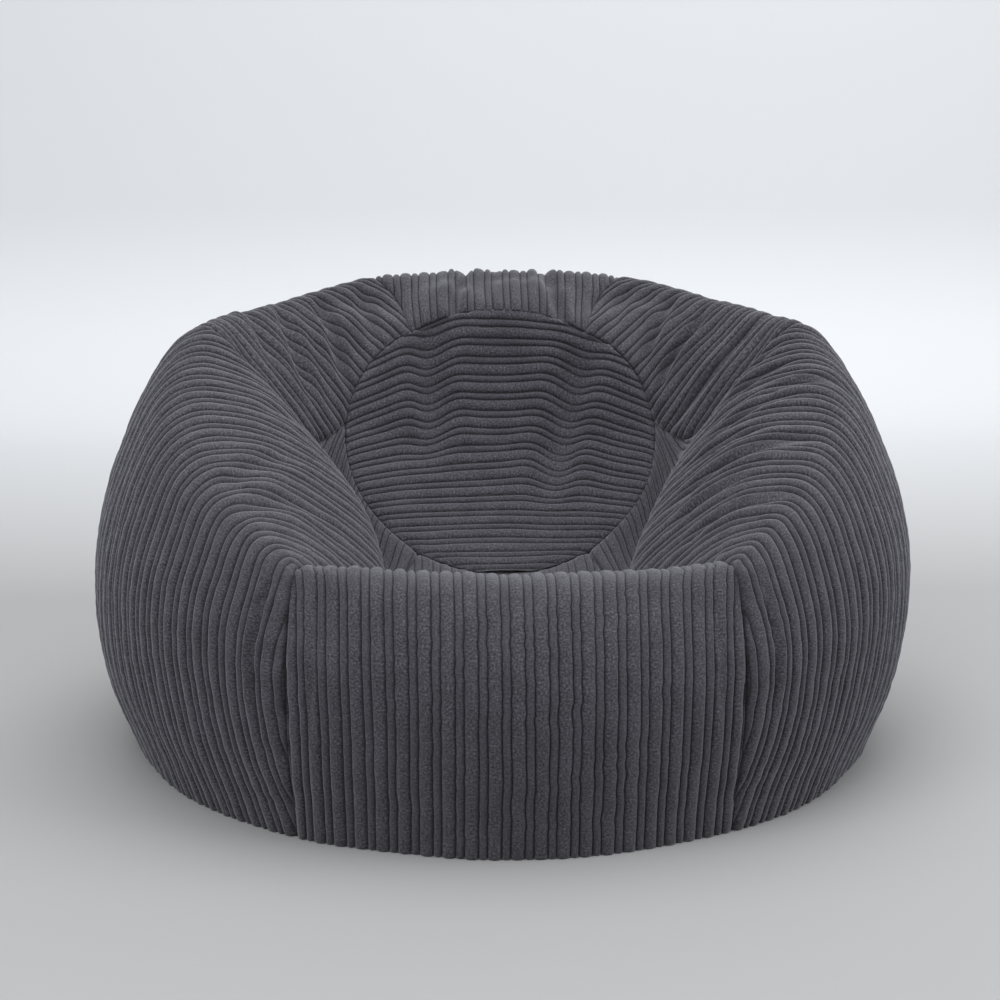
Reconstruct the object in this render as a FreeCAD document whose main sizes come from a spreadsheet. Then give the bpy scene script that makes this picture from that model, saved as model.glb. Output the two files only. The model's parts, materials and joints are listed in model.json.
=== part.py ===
import FreeCAD, Part
import Sketcher
import math
import os

# Bean bag chair: a round cover of wide-rib corduroy sewn from six upright side panels, one
# pushed-down seat panel and a flat base in two halves, with a zipped liner full of
# polystyrene beads inside it.
# Millimetres, +Z up, the sitter faces -Y. The origin is the middle of the base on the floor.

os.makedirs("parts", exist_ok=True)
doc = FreeCAD.newDocument("bean_bag_chair")
sheet = doc.addObject("Spreadsheet::Sheet", "Sizes")

# ---------------------------------------------------------------------------------- sizes
SIZES = {
    "fabric_thickness": 4.0,        # corduroy, ribs included
    "seam_gap": 0.5,                # between neighbouring side panels, over the seam line
    "seat_panel_share": 0.972,      # seat panel's size against the opening it is sewn into
    "seat_dish_depth": 57.0,        # how far the seat panel is pushed in at its middle
    "seam_depth_outer": 5.0,        # turned-in seam allowances: nearest and furthest below
    "seam_depth_inner": 10.6,       # the outside of the cover
    "seam_half_thickness": 3.0,
    "seat_seam_drop": 2.5,          # seat seam's allowance, further below than the others
    "liner_depth": 19.0,            # liner's outside below the cover's outside
    "liner_thickness": 1.0,
    "liner_floor": 9.0,             # underside of the liner above the floor
    "liner_base_radius": 438.5,
    "liner_seat_share": 0.96,
    "fill_depth": 27.0,             # outside of the beads below the cover's outside
    "fill_floor": 14.4,
    "fill_floor_radius": 415.0,
    "base_radius": 452.4,
    "base_thickness": 2.5,
    "hem_thickness": 5.0,
    "hem_width": 14.0,
    "hem_length": 860.0,
    "zip_gap": 12.0,                # open slot between the two hems
    "cover_zip_length": 780.0,
    "cover_zip_level": 5.0,         # underside of the tapes
    "liner_zip_length": 480.0,
    "liner_zip_level": 10.3,
    "liner_zip_y": 120.0,
    "tape_width": 15.0,
    "tape_thickness": 0.6,
    "coil_width": 2.2,              # one row of the coil
    "coil_height": 2.4,
    "coil_row_gap": 2.0,            # between the two rows
    "slider_length": 11.0,
    "slider_width": 9.4,
    "slider_plate": 1.2,
    "slider_inside": 3.2,           # height between the slider's two plates
    "slider_post_width": 1.0,
    "slider_post_length": 3.0,
    "bail_width": 1.2,
    "bail_length": 5.4,
    "bail_drop": 2.4,
    "bail_wire": 0.5,
    "pull_length": 24.0,
    "pull_width": 6.0,
    "pull_thickness": 1.1,
    "pull_window_length": 4.6,
    "pull_window_width": 2.8,
    "pull_bar": 1.2,
    "stop_length": 3.0,
    "stop_width": 7.0,
    "stop_height": 2.8,
    "end_tab_length": 40.0,
    "end_tab_width": 11.4,
    "label_length": 50.0,
    "label_thickness": 0.4,
    "label_height": 14.0,
    "label_y": 452.2,
    "label_level": 11.0,
    "base_seam_width": 7.0,
    "base_seam_height": 5.0,
}

# Seven stations run round half of the bag, from the middle of the front to the middle of the
# back: even ones lie on the middle of a side panel and odd ones on a seam.
STATIONS = ("front", "front_seam", "arm", "side_seam", "back_arm", "back_seam", "back")
STATION_STEP = 30.0

# Rings up the outside wall: share of the panel's length, azimuth of the front and of the back
# seam, radius at each station, height at each station.
WALL_RINGS = {
    "hem": (0.00, 31.5, 150.0, (457, 457, 457, 457, 457, 457, 457), (3, 3, 3, 3, 3, 3, 3)),
    "foot": (0.08, 31.0, 150.0, (466, 470, 476, 478, 474, 471, 470),
             (45, 45, 45, 45, 45, 45, 45)),
    "low": (0.17, 30.3, 150.0, (480, 486, 493, 495, 490, 485, 482),
            (100, 100, 100, 100, 100, 100, 100)),
    "belly": (0.30, 29.7, 149.0, (485, 494, 502, 503, 496, 488, 485),
              (180, 185, 200, 215, 222, 228, 230)),
    "shoulder": (0.46, 30.5, 147.0, (455, 474, 480, 470, 452, 442, 436),
                 (262, 262, 310, 361, 388, 416, 428)),
    "crown": (0.66, 31.5, 144.0, (385, 434, 402, 363, 322, 290, 248),
              (296, 305, 414, 515, 526, 549, 556)),
}

# Rings down the inside of the well to the seat seam: share of the panel's length and a point
# (x, y, z) at each station.
WELL_RINGS = {
    "inner": (0.78, ((0, -318, 262), (198, -302, 264), (256, -150, 374), (300, 6, 440),
                     (240, 152, 493), (150, 206, 538), (0, 224, 546))),
    "crest": (0.86, ((0, -240, 215), (154, -215, 222), (184, -98, 290), (262, 12, 378),
                     (214, 146, 472), (134, 192, 522), (0, 208, 536))),
    "well": (0.93, ((0, -150, 190), (134, -120, 198), (190, -32, 240), (232, 40, 352),
                    (192, 134, 452), (124, 172, 500), (0, 190, 522))),
    "seat": (1.00, ((0, -50, 203), (106, -30, 225), (179, 17, 290), (200, 80, 370),
                    (172, 118, 436), (115, 148, 478), (0, 170, 505))),
}
SEAT_MIDDLE = (0.0, 60.0, 352.0)
SEAT_INWARD = (0.0, 0.81, -0.586)


def put_on_sheet(row, alias, value):
    """Write one named plain number on the sheet."""
    sheet.set("A%d" % row, alias)
    sheet.set("B%d" % row, repr(value))
    sheet.setAlias("B%d" % row, alias)
    return row + 1


def fill_sheet():
    """Put every size and every ring of the bag's shape on the sheet."""
    row = 1
    for alias, value in SIZES.items():
        row = put_on_sheet(row, alias, value)
    for ring, (share, front_azimuth, back_azimuth, radii, heights) in WALL_RINGS.items():
        row = put_on_sheet(row, ring + "_share", share)
        row = put_on_sheet(row, ring + "_front_azimuth", front_azimuth)
        row = put_on_sheet(row, ring + "_back_azimuth", back_azimuth)
        for station, radius, height in zip(STATIONS, radii, heights):
            row = put_on_sheet(row, "%s_%s_radius" % (ring, station), radius)
            row = put_on_sheet(row, "%s_%s_height" % (ring, station), height)
    for ring, (share, points) in WELL_RINGS.items():
        row = put_on_sheet(row, ring + "_share", share)
        for station, point in zip(STATIONS, points):
            for letter, value in zip("xyz", point):
                row = put_on_sheet(row, "%s_%s_%s" % (ring, station, letter), value)
    doc.recompute()


fill_sheet()


def size(alias):
    """A number from the sheet."""
    return float(getattr(sheet, alias))


def vector(values):
    return FreeCAD.Vector(float(values[0]), float(values[1]), float(values[2]))


# ------------------------------------------------------------------- shape of the whole bag
RING_SHARES = [size(name + "_share") for name in list(WALL_RINGS) + list(WELL_RINGS)]
PANEL_COUNT = 6


def station_points(index):
    """Points from the hem to the seat seam at one of the twelve stations round the bag."""
    side = 1.0 if index <= PANEL_COUNT else -1.0
    half = index if index <= PANEL_COUNT else 2 * PANEL_COUNT - index
    name = STATIONS[half]
    points = []
    for ring in WALL_RINGS:
        degrees = half * STATION_STEP
        if half in (1, 5):
            degrees = size(ring + ("_front_azimuth" if half == 1 else "_back_azimuth"))
        angle = math.radians(degrees)
        radius = size("%s_%s_radius" % (ring, name))
        height = size("%s_%s_height" % (ring, name))
        points.append(FreeCAD.Vector(side * radius * math.sin(angle),
                                     -radius * math.cos(angle), height))
    for ring in WELL_RINGS:
        x, y, z = [size("%s_%s_%s" % (ring, name, letter)) for letter in "xyz"]
        points.append(FreeCAD.Vector(side * x, y, z))
    return points


def slopes(points):
    """Slope of a smooth curve at each of its points, by share of the panel's length."""
    steps = []
    for k in range(len(points) - 1):
        steps.append((points[k + 1] - points[k]) * (1.0 / (RING_SHARES[k + 1] - RING_SHARES[k])))
    result = [steps[0]]
    for k in range(1, len(points) - 1):
        weight = (RING_SHARES[k] - RING_SHARES[k - 1]) / (RING_SHARES[k + 1] - RING_SHARES[k - 1])
        result.append(steps[k - 1] * (1.0 - weight) + steps[k] * weight)
    result.append(steps[-1])
    return result


PROFILES = [station_points(index) for index in range(2 * PANEL_COUNT)]
PROFILE_SLOPES = [slopes(points) for points in PROFILES]


def on_profile(index, share):
    """Point and direction of travel on one station's curve."""
    points = PROFILES[index % (2 * PANEL_COUNT)]
    slope = PROFILE_SLOPES[index % (2 * PANEL_COUNT)]
    k = 0
    while k < len(points) - 2 and share > RING_SHARES[k + 1]:
        k += 1
    span = RING_SHARES[k + 1] - RING_SHARES[k]
    f = (share - RING_SHARES[k]) / span
    point = (points[k] * (2 * f ** 3 - 3 * f ** 2 + 1) + points[k + 1] * (3 * f ** 2 - 2 * f ** 3)
             + slope[k] * (span * (f ** 3 - 2 * f ** 2 + f))
             + slope[k + 1] * (span * (f ** 3 - f ** 2)))
    travel = ((points[k] - points[k + 1]) * ((6 * f ** 2 - 6 * f) / span)
              + slope[k] * (3 * f ** 2 - 4 * f + 1) + slope[k + 1] * (3 * f ** 2 - 2 * f))
    return point, travel


def profile_outward(index, share):
    """Unit vector out of the bag on one station's curve."""
    around = on_profile(index + 1, share)[0] - on_profile(index - 1, share)[0]
    return around.cross(on_profile(index, share)[1]).normalize()


def blend(before, middle, after, across):
    """Quadratic through three stations; across runs from -1 to 1."""
    return (before * (0.5 * (across * across - across)) + middle * (1.0 - across * across)
            + after * (0.5 * (across * across + across)))


def on_panel(panel, across, share, depth):
    """Point of a side panel, a depth below the outside of the cover."""
    indices = (2 * panel - 1, 2 * panel, 2 * panel + 1)
    point = blend(*[on_profile(index, share)[0] for index in indices], across)
    outward = blend(*[profile_outward(index, share) for index in indices], across).normalize()
    return point - outward * depth


def on_ring(degrees, share, depth):
    """Point on a closed ring round the bag, by angle over the stations."""
    panel, rest = divmod((degrees + STATION_STEP) % 360.0, 2.0 * STATION_STEP)
    return on_panel(int(panel), rest / STATION_STEP - 1.0, share, depth)


def on_seat(reach, degrees, depth):
    """Point of the pushed-in seat panel; reach is 0 in the middle and 1 on the seat seam."""
    middle = vector(SEAT_MIDDLE)
    inward = vector(SEAT_INWARD).normalize()
    edge = on_ring(degrees, 1.0, 0.0)
    dish = size("seat_dish_depth") * (1.0 - reach * reach)
    return middle + (edge - middle) * reach + inward * (dish + depth)


# --------------------------------------------------------------------------- solid builders
def surface(rows):
    """Smooth face through a grid of points."""
    patch = Part.BSplineSurface()
    patch.interpolate(rows)
    return patch


def edge_curves(rows):
    """The four border edges of a smooth face through a grid of points."""
    patch = surface(rows)
    first_u, last_u, first_v, last_v = patch.bounds()
    return [patch.vIso(first_v).toShape(), patch.vIso(last_v).toShape(),
            patch.uIso(first_u).toShape(), patch.uIso(last_u).toShape()]


def sewn_solid(faces):
    """Close faces that share borders into one solid with its faces outwards."""
    shell = Part.makeShell(faces)
    shell.sewShape()
    solid = Part.makeSolid(shell)
    if solid.Volume < 0:
        solid.reverse()
    return solid


def sheet_solid(outer_rows, inner_rows):
    """A thick sheet of fabric between two grids of points."""
    faces = [surface(outer_rows).toShape(), surface(inner_rows).toShape()]
    for outer, inner in zip(edge_curves(outer_rows), edge_curves(inner_rows)):
        faces.append(Part.makeRuledSurface(outer, inner, 1))
    return sewn_solid(faces)


def ring_wire(points):
    """A closed smooth wire through points."""
    curve = Part.BSplineCurve()
    curve.interpolate(Points=points, PeriodicFlag=True)
    return Part.Wire([curve.toShape()])


def add_feature(name, shape):
    """Put a finished shape in the document."""
    feature = doc.addObject("Part::Feature", name)
    feature.Label = name
    feature.Shape = shape
    feature.Placement = FreeCAD.Placement()
    return feature


# ------------------------------------------------------------------------ cover side panels
ACROSS_STEPS = 12
SHARE_STEPS = 44
PANEL_NAMES = ("cover_front_panel", "cover_front_right_panel", "cover_back_right_panel",
               "cover_back_panel", "cover_back_left_panel", "cover_front_left_panel")


def side_panel(panel, depth_out, depth_in):
    """One upright panel from the hem, over the crown and down to the seat seam."""
    grids = []
    for depth in (depth_out, depth_in):
        rows = []
        for i in range(ACROSS_STEPS + 1):
            row = []
            for j in range(SHARE_STEPS + 1):
                share = j / SHARE_STEPS
                left = on_profile(2 * panel - 1, share)[0]
                right = on_profile(2 * panel + 1, share)[0]
                reach = 1.0 - size("seam_gap") / (right - left).Length
                row.append(on_panel(panel, reach * (2.0 * i / ACROSS_STEPS - 1.0), share, depth))
            rows.append(row)
        grids.append(rows)
    return sheet_solid(*grids)


for panel_index, panel_name in enumerate(PANEL_NAMES):
    add_feature(panel_name, side_panel(panel_index, 0.0, size("fabric_thickness")))

# --------------------------------------------------------------------------- seat panel
SEAT_STEPS = 16


def seat_sheet(share, depth_out, depth_in):
    """A round panel pushed down and back, laid out as a square pressed out to a disc."""
    grids = []
    for depth in (depth_out, depth_in):
        rows = []
        for i in range(SEAT_STEPS + 1):
            row = []
            for j in range(SEAT_STEPS + 1):
                a = 2.0 * i / SEAT_STEPS - 1.0
                b = 2.0 * j / SEAT_STEPS - 1.0
                x = a * math.sqrt(1.0 - b * b / 2.0)
                y = b * math.sqrt(1.0 - a * a / 2.0)
                reach = min(math.hypot(x, y), 1.0) * share
                row.append(on_seat(reach, math.degrees(math.atan2(x, -y)), depth))
            rows.append(row)
        grids.append(rows)
    return sheet_solid(*grids)


add_feature("cover_seat_panel", seat_sheet(size("seat_panel_share"), 0.0,
                                           size("fabric_thickness")))

# ------------------------------------------------------------------ turned-in seam allowances
SEAM_NAMES = ("cover_seam_front_right", "cover_seam_side_right", "cover_seam_back_right",
              "cover_seam_back_left", "cover_seam_side_left", "cover_seam_front_left")
SEAM_START = 0.03
SEAM_END = 0.965
SEAM_STEPS = 36


def side_seam(station):
    """Two layers of turned-in fabric running up behind one side seam."""
    lines = [[], [], [], []]
    half = size("seam_half_thickness")
    corners = ((size("seam_depth_outer"), -half), (size("seam_depth_outer"), half),
               (size("seam_depth_inner"), half), (size("seam_depth_inner"), -half))
    for step in range(SEAM_STEPS + 1):
        share = SEAM_START + (SEAM_END - SEAM_START) * step / SEAM_STEPS
        point, travel = on_profile(station, share)
        outward = profile_outward(station, share)
        sideways = outward.cross(travel).normalize()
        for line, (depth, shift) in zip(lines, corners):
            line.append(point - outward * depth + sideways * shift)
    edges = []
    for line in lines:
        curve = Part.BSplineCurve()
        curve.interpolate(line)
        edges.append(curve.toShape())
    faces = [Part.makeRuledSurface(edges[k], edges[(k + 1) % 4], 1) for k in range(4)]
    for end in (0, -1):
        faces.append(Part.Face(Part.makePolygon([line[end] for line in lines + lines[:1]])))
    return sewn_solid(faces)


for seam_index, seam_name in enumerate(SEAM_NAMES):
    add_feature(seam_name, side_seam(2 * seam_index + 1))

RING_STEPS = 72


def seat_seam():
    """The seam allowance that runs right round behind the edge of the seat panel."""
    half = size("seam_half_thickness")
    corners = ((size("seam_depth_outer"), -half), (size("seam_depth_outer"), half),
               (size("seam_depth_inner"), half), (size("seam_depth_inner"), -half))
    inward = vector(SEAT_INWARD).normalize()
    rings = []
    for depth, shift in corners:
        points = []
        for step in range(RING_STEPS):
            angle = 360.0 * step / RING_STEPS
            edge = on_ring(angle, 1.0, 0.0)
            below = (on_ring(angle, 1.0, 1.0) - edge + inward).normalize()
            towards = vector(SEAT_MIDDLE) - edge
            towards = (towards - below * towards.dot(below)).normalize()
            points.append(edge + below * (depth + size("seat_seam_drop")) + towards * shift)
        rings.append(ring_wire(points).Edges[0])
    faces = [Part.makeRuledSurface(rings[k], rings[(k + 1) % 4], 1) for k in range(4)]
    return sewn_solid(faces)


add_feature("cover_seat_seam", seat_seam())

# ------------------------------------------------------------------------ liner and beads
SKIN_SHARES = [0.035 + 0.965 * step / 30.0 for step in range(31)]
SEAT_REACHES = (0.9, 0.78, 0.64, 0.5, 0.36, 0.22)
PLUG_RADIUS = 22.0


LINER_ACROSS_STEPS = 36
LINER_START = 0.015


def liner_wall(first_degrees):
    """Half of the liner's side, from its base up over the crown and down into the well."""
    grids = []
    for depth in (size("liner_depth"), size("liner_depth") + size("liner_thickness")):
        rows = []
        for i in range(LINER_ACROSS_STEPS + 1):
            degrees = first_degrees + 0.1 + 179.8 * i / LINER_ACROSS_STEPS
            rows.append([on_ring(degrees, LINER_START + (1.0 - LINER_START) * j / SHARE_STEPS,
                                 depth) for j in range(SHARE_STEPS + 1)])
        grids.append(rows)
    return sheet_solid(*grids)


def liner_base(side):
    """Part of the liner's flat base on one side of its zip."""
    radius = size("liner_base_radius")
    disc = Part.makeCylinder(radius, size("liner_thickness"),
                             FreeCAD.Vector(0, 0, size("liner_floor")))
    near = size("liner_zip_y") + side * size("zip_gap") / 2.0
    start = near if side > 0 else near - 2.0 * radius
    keep = Part.makeBox(2.0 * radius, 2.0 * radius, 20.0, FreeCAD.Vector(-radius, start, 0))
    return disc.common(keep)


def bag_body(depth, floor, floor_radius):
    """Closed body a depth below the cover, with a flat floor and a dished seat."""
    wires = []
    angles = [360.0 * step / RING_STEPS for step in range(RING_STEPS)]
    for height, radius in ((floor, floor_radius), (floor + 5.0, floor_radius + 7.0)):
        wires.append(ring_wire([FreeCAD.Vector(radius * math.sin(math.radians(angle)),
                                               -radius * math.cos(math.radians(angle)), height)
                                for angle in angles]))
    for share in SKIN_SHARES:
        wires.append(ring_wire([on_ring(angle, share, depth) for angle in angles]))
    inward = vector(SEAT_INWARD).normalize()
    for reach in SEAT_REACHES:
        wires.append(ring_wire([on_seat(reach, angle, depth) for angle in angles]))
    centre = on_seat(0.0, 0.0, depth)
    upward = FreeCAD.Vector(1, 0, 0).cross(inward).normalize()
    points = []
    for angle in angles:
        points.append(centre + FreeCAD.Vector(PLUG_RADIUS * math.sin(math.radians(angle)), 0, 0)
                      - upward * (PLUG_RADIUS * math.cos(math.radians(angle))))
    wires.append(ring_wire(points))
    return Part.makeLoft(wires, True, False)


add_feature("liner_front_wall", liner_wall(-90.0))
add_feature("liner_back_wall", liner_wall(90.0))
add_feature("liner_seat_panel", seat_sheet(size("liner_seat_share"), size("liner_depth"),
                                           size("liner_depth") + size("liner_thickness")))
add_feature("liner_base_front", liner_base(-1))
add_feature("liner_base_back", liner_base(1))
add_feature("bead_fill", bag_body(size("fill_depth"), size("fill_floor"),
                                  size("fill_floor_radius")))


# ----------------------------------------------------------------------- sketch-made pieces
def new_body(name):
    body = doc.addObject("PartDesign::Body", name)
    body.Label = name
    return body


def sketch_on(body, level_expression, plane_role="XY_Plane"):
    """Empty sketch on one of the body's own origin planes, raised by a sheet expression."""
    plane = [item for item in body.Origin.OriginFeatures if item.Role == plane_role][0]
    sketch = body.newObject("Sketcher::SketchObject", body.Name + "_sketch")
    sketch.AttachmentSupport = (plane, [""])
    sketch.MapMode = "FlatFace"
    sketch.setExpression("AttachmentOffset.Base.z", level_expression)
    return sketch


def bind(sketch, kind, arguments, value, name, expression):
    """Add a named constraint and tie it to the sheet."""
    index = sketch.addConstraint(Sketcher.Constraint(kind, *arguments, value))
    sketch.renameConstraint(index, name)
    sketch.setExpression("Constraints." + name, expression)


def centred_rectangle(sketch, length_expression, width_expression):
    """Rectangle centred on the sketch's origin."""
    corners = ((-5, -2), (5, -2), (5, 2), (-5, 2))
    for k in range(4):
        start = FreeCAD.Vector(*corners[k], 0)
        end = FreeCAD.Vector(*corners[(k + 1) % 4], 0)
        sketch.addGeometry(Part.LineSegment(start, end), False)
    for k in range(4):
        sketch.addConstraint(Sketcher.Constraint("Coincident", k, 2, (k + 1) % 4, 1))
    for kind, line in (("Horizontal", 0), ("Vertical", 1), ("Horizontal", 2), ("Vertical", 3)):
        sketch.addConstraint(Sketcher.Constraint(kind, line))
    sketch.addConstraint(Sketcher.Constraint("Symmetric", 0, 1, 2, 1, -1, 1))
    bind(sketch, "DistanceX", (0, 1, 0, 2), 10.0, "along", length_expression)
    bind(sketch, "DistanceY", (1, 1, 1, 2), 4.0, "wide", width_expression)


def pad(body, sketch, length_expression):
    feature = body.newObject("PartDesign::Pad", body.Name + "_pad")
    feature.Profile = sketch
    feature.setExpression("Length", length_expression)
    sketch.Visibility = False
    body.Tip = feature
    return feature


def block(body, level, along, wide, high, shift="0"):
    """Add a centred block to a body, moved along its length by a shift."""
    sketch = sketch_on(body, level)
    sketch.setExpression("AttachmentOffset.Base.x", shift)
    centred_rectangle(sketch, along, wide)
    return pad(body, sketch, high)


def part_box(name, expressions):
    """A plain box whose six sizes come from the sheet."""
    box = doc.addObject("Part::Box", name)
    box.Label = name
    for prop, expression in expressions.items():
        box.setExpression(prop, expression)
    return box


def merged(name, pieces):
    """Several loose solids of one component, kept as a compound."""
    group = doc.addObject("Part::Compound", name)
    group.Label = name
    group.Links = pieces
    return group


# ------------------------------------------------------------------------------ base halves
def base_half(name, side):
    """Half of the round base with a folded hem along the zip."""
    body = new_body(name)
    sketch = sketch_on(body, "0")
    start, end = (0.02, math.pi - 0.02)
    if side < 0:
        start, end = (math.pi + 0.02, 2.0 * math.pi - 0.02)
    circle = Part.Circle(FreeCAD.Vector(0, 0, 0), FreeCAD.Vector(0, 0, 1), size("base_radius"))
    sketch.addGeometry(Part.ArcOfCircle(circle, start, end), False)
    reach = size("base_radius") * math.cos(0.02)
    level = side * size("zip_gap") / 2.0
    left, right = FreeCAD.Vector(-reach, level, 0), FreeCAD.Vector(reach, level, 0)
    if side > 0:
        sketch.addGeometry(Part.LineSegment(left, right), False)
    else:
        sketch.addGeometry(Part.LineSegment(right, left), False)
    sketch.addConstraint(Sketcher.Constraint("Coincident", 0, 3, -1, 1))
    sketch.addConstraint(Sketcher.Constraint("Coincident", 0, 2, 1, 1))
    sketch.addConstraint(Sketcher.Constraint("Coincident", 1, 2, 0, 1))
    sketch.addConstraint(Sketcher.Constraint("Horizontal", 1))
    bind(sketch, "Radius", (0,), size("base_radius"), "outline", "Sizes.base_radius")
    first, second = ((-1, 1), (1, 1)) if side > 0 else ((1, 1), (-1, 1))
    bind(sketch, "DistanceY", first + second, size("zip_gap") / 2.0, "slot",
         "Sizes.zip_gap / 2")
    pad(body, sketch, "Sizes.base_thickness")
    hem = sketch_on(body, "0")
    hem.setExpression("AttachmentOffset.Base.y",
                      "%d * (Sizes.zip_gap + Sizes.hem_width) / 2" % side)
    centred_rectangle(hem, "Sizes.hem_length", "Sizes.hem_width")
    pad(body, hem, "Sizes.hem_thickness")
    return body


base_half("cover_base_front", -1)
base_half("cover_base_back", 1)


def base_seam():
    """The ring of turned-in fabric where the side panels are sewn to the base."""
    outer = Part.makeCylinder(size("base_radius") - 1.0, size("base_seam_height"),
                              FreeCAD.Vector(0, 0, size("base_thickness") + 0.5))
    inner = Part.makeCylinder(size("base_radius") - 1.0 - size("base_seam_width"), 20.0)
    return outer.cut(inner)


add_feature("cover_base_seam", base_seam())


# ------------------------------------------------------------------------------------- zips
def make_zip(prefix, row_y, level, length):
    """Tapes, coil rows, end stops and slider of one closed zip that runs along X."""
    middle = "%s + Sizes.tape_thickness / 2" % level
    for side, end in ((-1, "front"), (1, "back")):
        inner = "Sizes.coil_row_gap / 2 + Sizes.coil_width"
        near = "%s + %d * (%s)" % (row_y, side, inner)
        tape_y = near if side > 0 else near + " - Sizes.tape_width"
        part_box("%s_tape_%s" % (prefix, end), {
            "Length": length, "Width": "Sizes.tape_width", "Height": "Sizes.tape_thickness",
            "Placement.Base.x": "-(%s) / 2" % length, "Placement.Base.y": tape_y,
            "Placement.Base.z": level})
        coil_y = "%s + %d * Sizes.coil_row_gap / 2" % (row_y, side)
        coil_y = coil_y if side > 0 else coil_y + " - Sizes.coil_width"
        part_box("%s_coil_%s" % (prefix, end), {
            "Length": "%s - 2 * Sizes.stop_length" % length, "Width": "Sizes.coil_width",
            "Height": "Sizes.coil_height",
            "Placement.Base.x": "-(%s) / 2 + Sizes.stop_length" % length,
            "Placement.Base.y": coil_y,
            "Placement.Base.z": "%s - Sizes.coil_height / 2" % middle})
    stops = []
    for side, end in ((-1, "left"), (1, "right")):
        x = "-(%s) / 2" % length if side < 0 else "(%s) / 2 - Sizes.stop_length" % length
        stops.append(part_box("%s_stop_%s" % (prefix, end), {
            "Length": "Sizes.stop_length - 0.2",
            "Width": "Sizes.coil_row_gap + 2 * Sizes.coil_width - 0.4",
            "Height": "Sizes.stop_height", "Placement.Base.x": x,
            "Placement.Base.y": "%s - Sizes.coil_row_gap / 2 - Sizes.coil_width + 0.2" % row_y,
            "Placement.Base.z": "%s - Sizes.stop_height / 2" % middle}))
    merged(prefix + "_stops", stops)
    slider = new_body(prefix + "_slider")
    under = "-(Sizes.slider_inside / 2 + Sizes.slider_plate)"
    block(slider, under, "Sizes.slider_length", "Sizes.slider_width", "Sizes.slider_plate")
    block(slider, under, "Sizes.slider_post_length", "Sizes.slider_post_width",
          "Sizes.slider_inside + 2 * Sizes.slider_plate")
    block(slider, "Sizes.slider_inside / 2", "Sizes.slider_length", "Sizes.slider_width",
          "Sizes.slider_plate")
    slider.setExpression("Placement.Base.x",
                         "(%s) / 2 - Sizes.stop_length - Sizes.slider_length / 2 - 0.5" % length)
    slider.setExpression("Placement.Base.y", row_y)
    slider.setExpression("Placement.Base.z", middle)
    return slider


def add_bail(slider):
    """The wire arch under the slider that the pull hangs on."""
    drop = "-(Sizes.slider_inside / 2 + Sizes.slider_plate + Sizes.bail_drop)"
    leg = "(Sizes.bail_length - Sizes.bail_wire) / 2"
    for shift in (leg, "-" + leg):
        block(slider, drop, "Sizes.bail_wire", "Sizes.bail_width", "Sizes.bail_drop + 0.2", shift)
    block(slider, drop, "Sizes.bail_length", "Sizes.bail_width", "Sizes.bail_wire")


cover_slider = make_zip("cover_zip", "0", "Sizes.cover_zip_level", "Sizes.cover_zip_length")
add_bail(cover_slider)
make_zip("liner_zip", "Sizes.liner_zip_y", "Sizes.liner_zip_level", "Sizes.liner_zip_length")

# The pull lies flat under the slider; its cross bar sits inside the arch.
pull = new_body("cover_zip_pull")
block(pull, "-Sizes.pull_thickness / 2", "Sizes.pull_length", "Sizes.pull_width",
      "Sizes.pull_thickness", "-Sizes.pull_length / 2")
bar = sketch_on(pull, "0", "XZ_Plane")
bar.addGeometry(Part.Circle(FreeCAD.Vector(0, 0, 0), FreeCAD.Vector(0, 0, 1), 0.55), False)
bar.addConstraint(Sketcher.Constraint("Coincident", 0, 3, -1, 1))
bind(bar, "Radius", (0,), 0.55, "bar_radius", "Sizes.pull_thickness / 2")
pad(pull, bar, "Sizes.pull_width").Midplane = True
window = sketch_on(pull, "-Sizes.pull_thickness")
window.setExpression("AttachmentOffset.Base.x",
                     "-(Sizes.pull_window_length + Sizes.pull_bar) / 2")
centred_rectangle(window, "Sizes.pull_window_length", "Sizes.pull_window_width")
opening = pull.newObject("PartDesign::Pocket", "pull_window")
opening.Profile = window
opening.Reversed = True
opening.setExpression("Length", "2 * Sizes.pull_thickness")
pull.Tip = opening
pull.setExpression("Placement.Base.x", "Sizes.cover_zip_length / 2 - Sizes.stop_length"
                   " - Sizes.slider_length / 2 - 0.5")
pull.setExpression("Placement.Base.z", "Sizes.cover_zip_level + Sizes.tape_thickness / 2"
                   " - Sizes.slider_inside / 2 - Sizes.slider_plate"
                   " - (Sizes.bail_drop - Sizes.bail_wire) / 2")

# Fabric tabs close the slot beyond both ends of the cover's zip.
tabs = []
for side, end in ((-1, "left"), (1, "right")):
    start = "Sizes.cover_zip_length / 2 + 1.5"
    x = start if side > 0 else "-(%s) - Sizes.end_tab_length" % start
    tabs.append(part_box("cover_zip_tab_" + end, {
        "Length": "Sizes.end_tab_length", "Width": "Sizes.end_tab_width",
        "Height": "Sizes.base_thickness", "Placement.Base.x": x,
        "Placement.Base.y": "-Sizes.end_tab_width / 2", "Placement.Base.z": "0.2"}))
merged("cover_zip_end_tabs", tabs)

# The blank care label is caught in the base seam at the back.
part_box("care_label", {
    "Length": "Sizes.label_length", "Width": "Sizes.label_thickness",
    "Height": "Sizes.label_height", "Placement.Base.x": "-Sizes.label_length / 2",
    "Placement.Base.y": "Sizes.label_y", "Placement.Base.z": "Sizes.label_level"})

doc.recompute()

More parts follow.
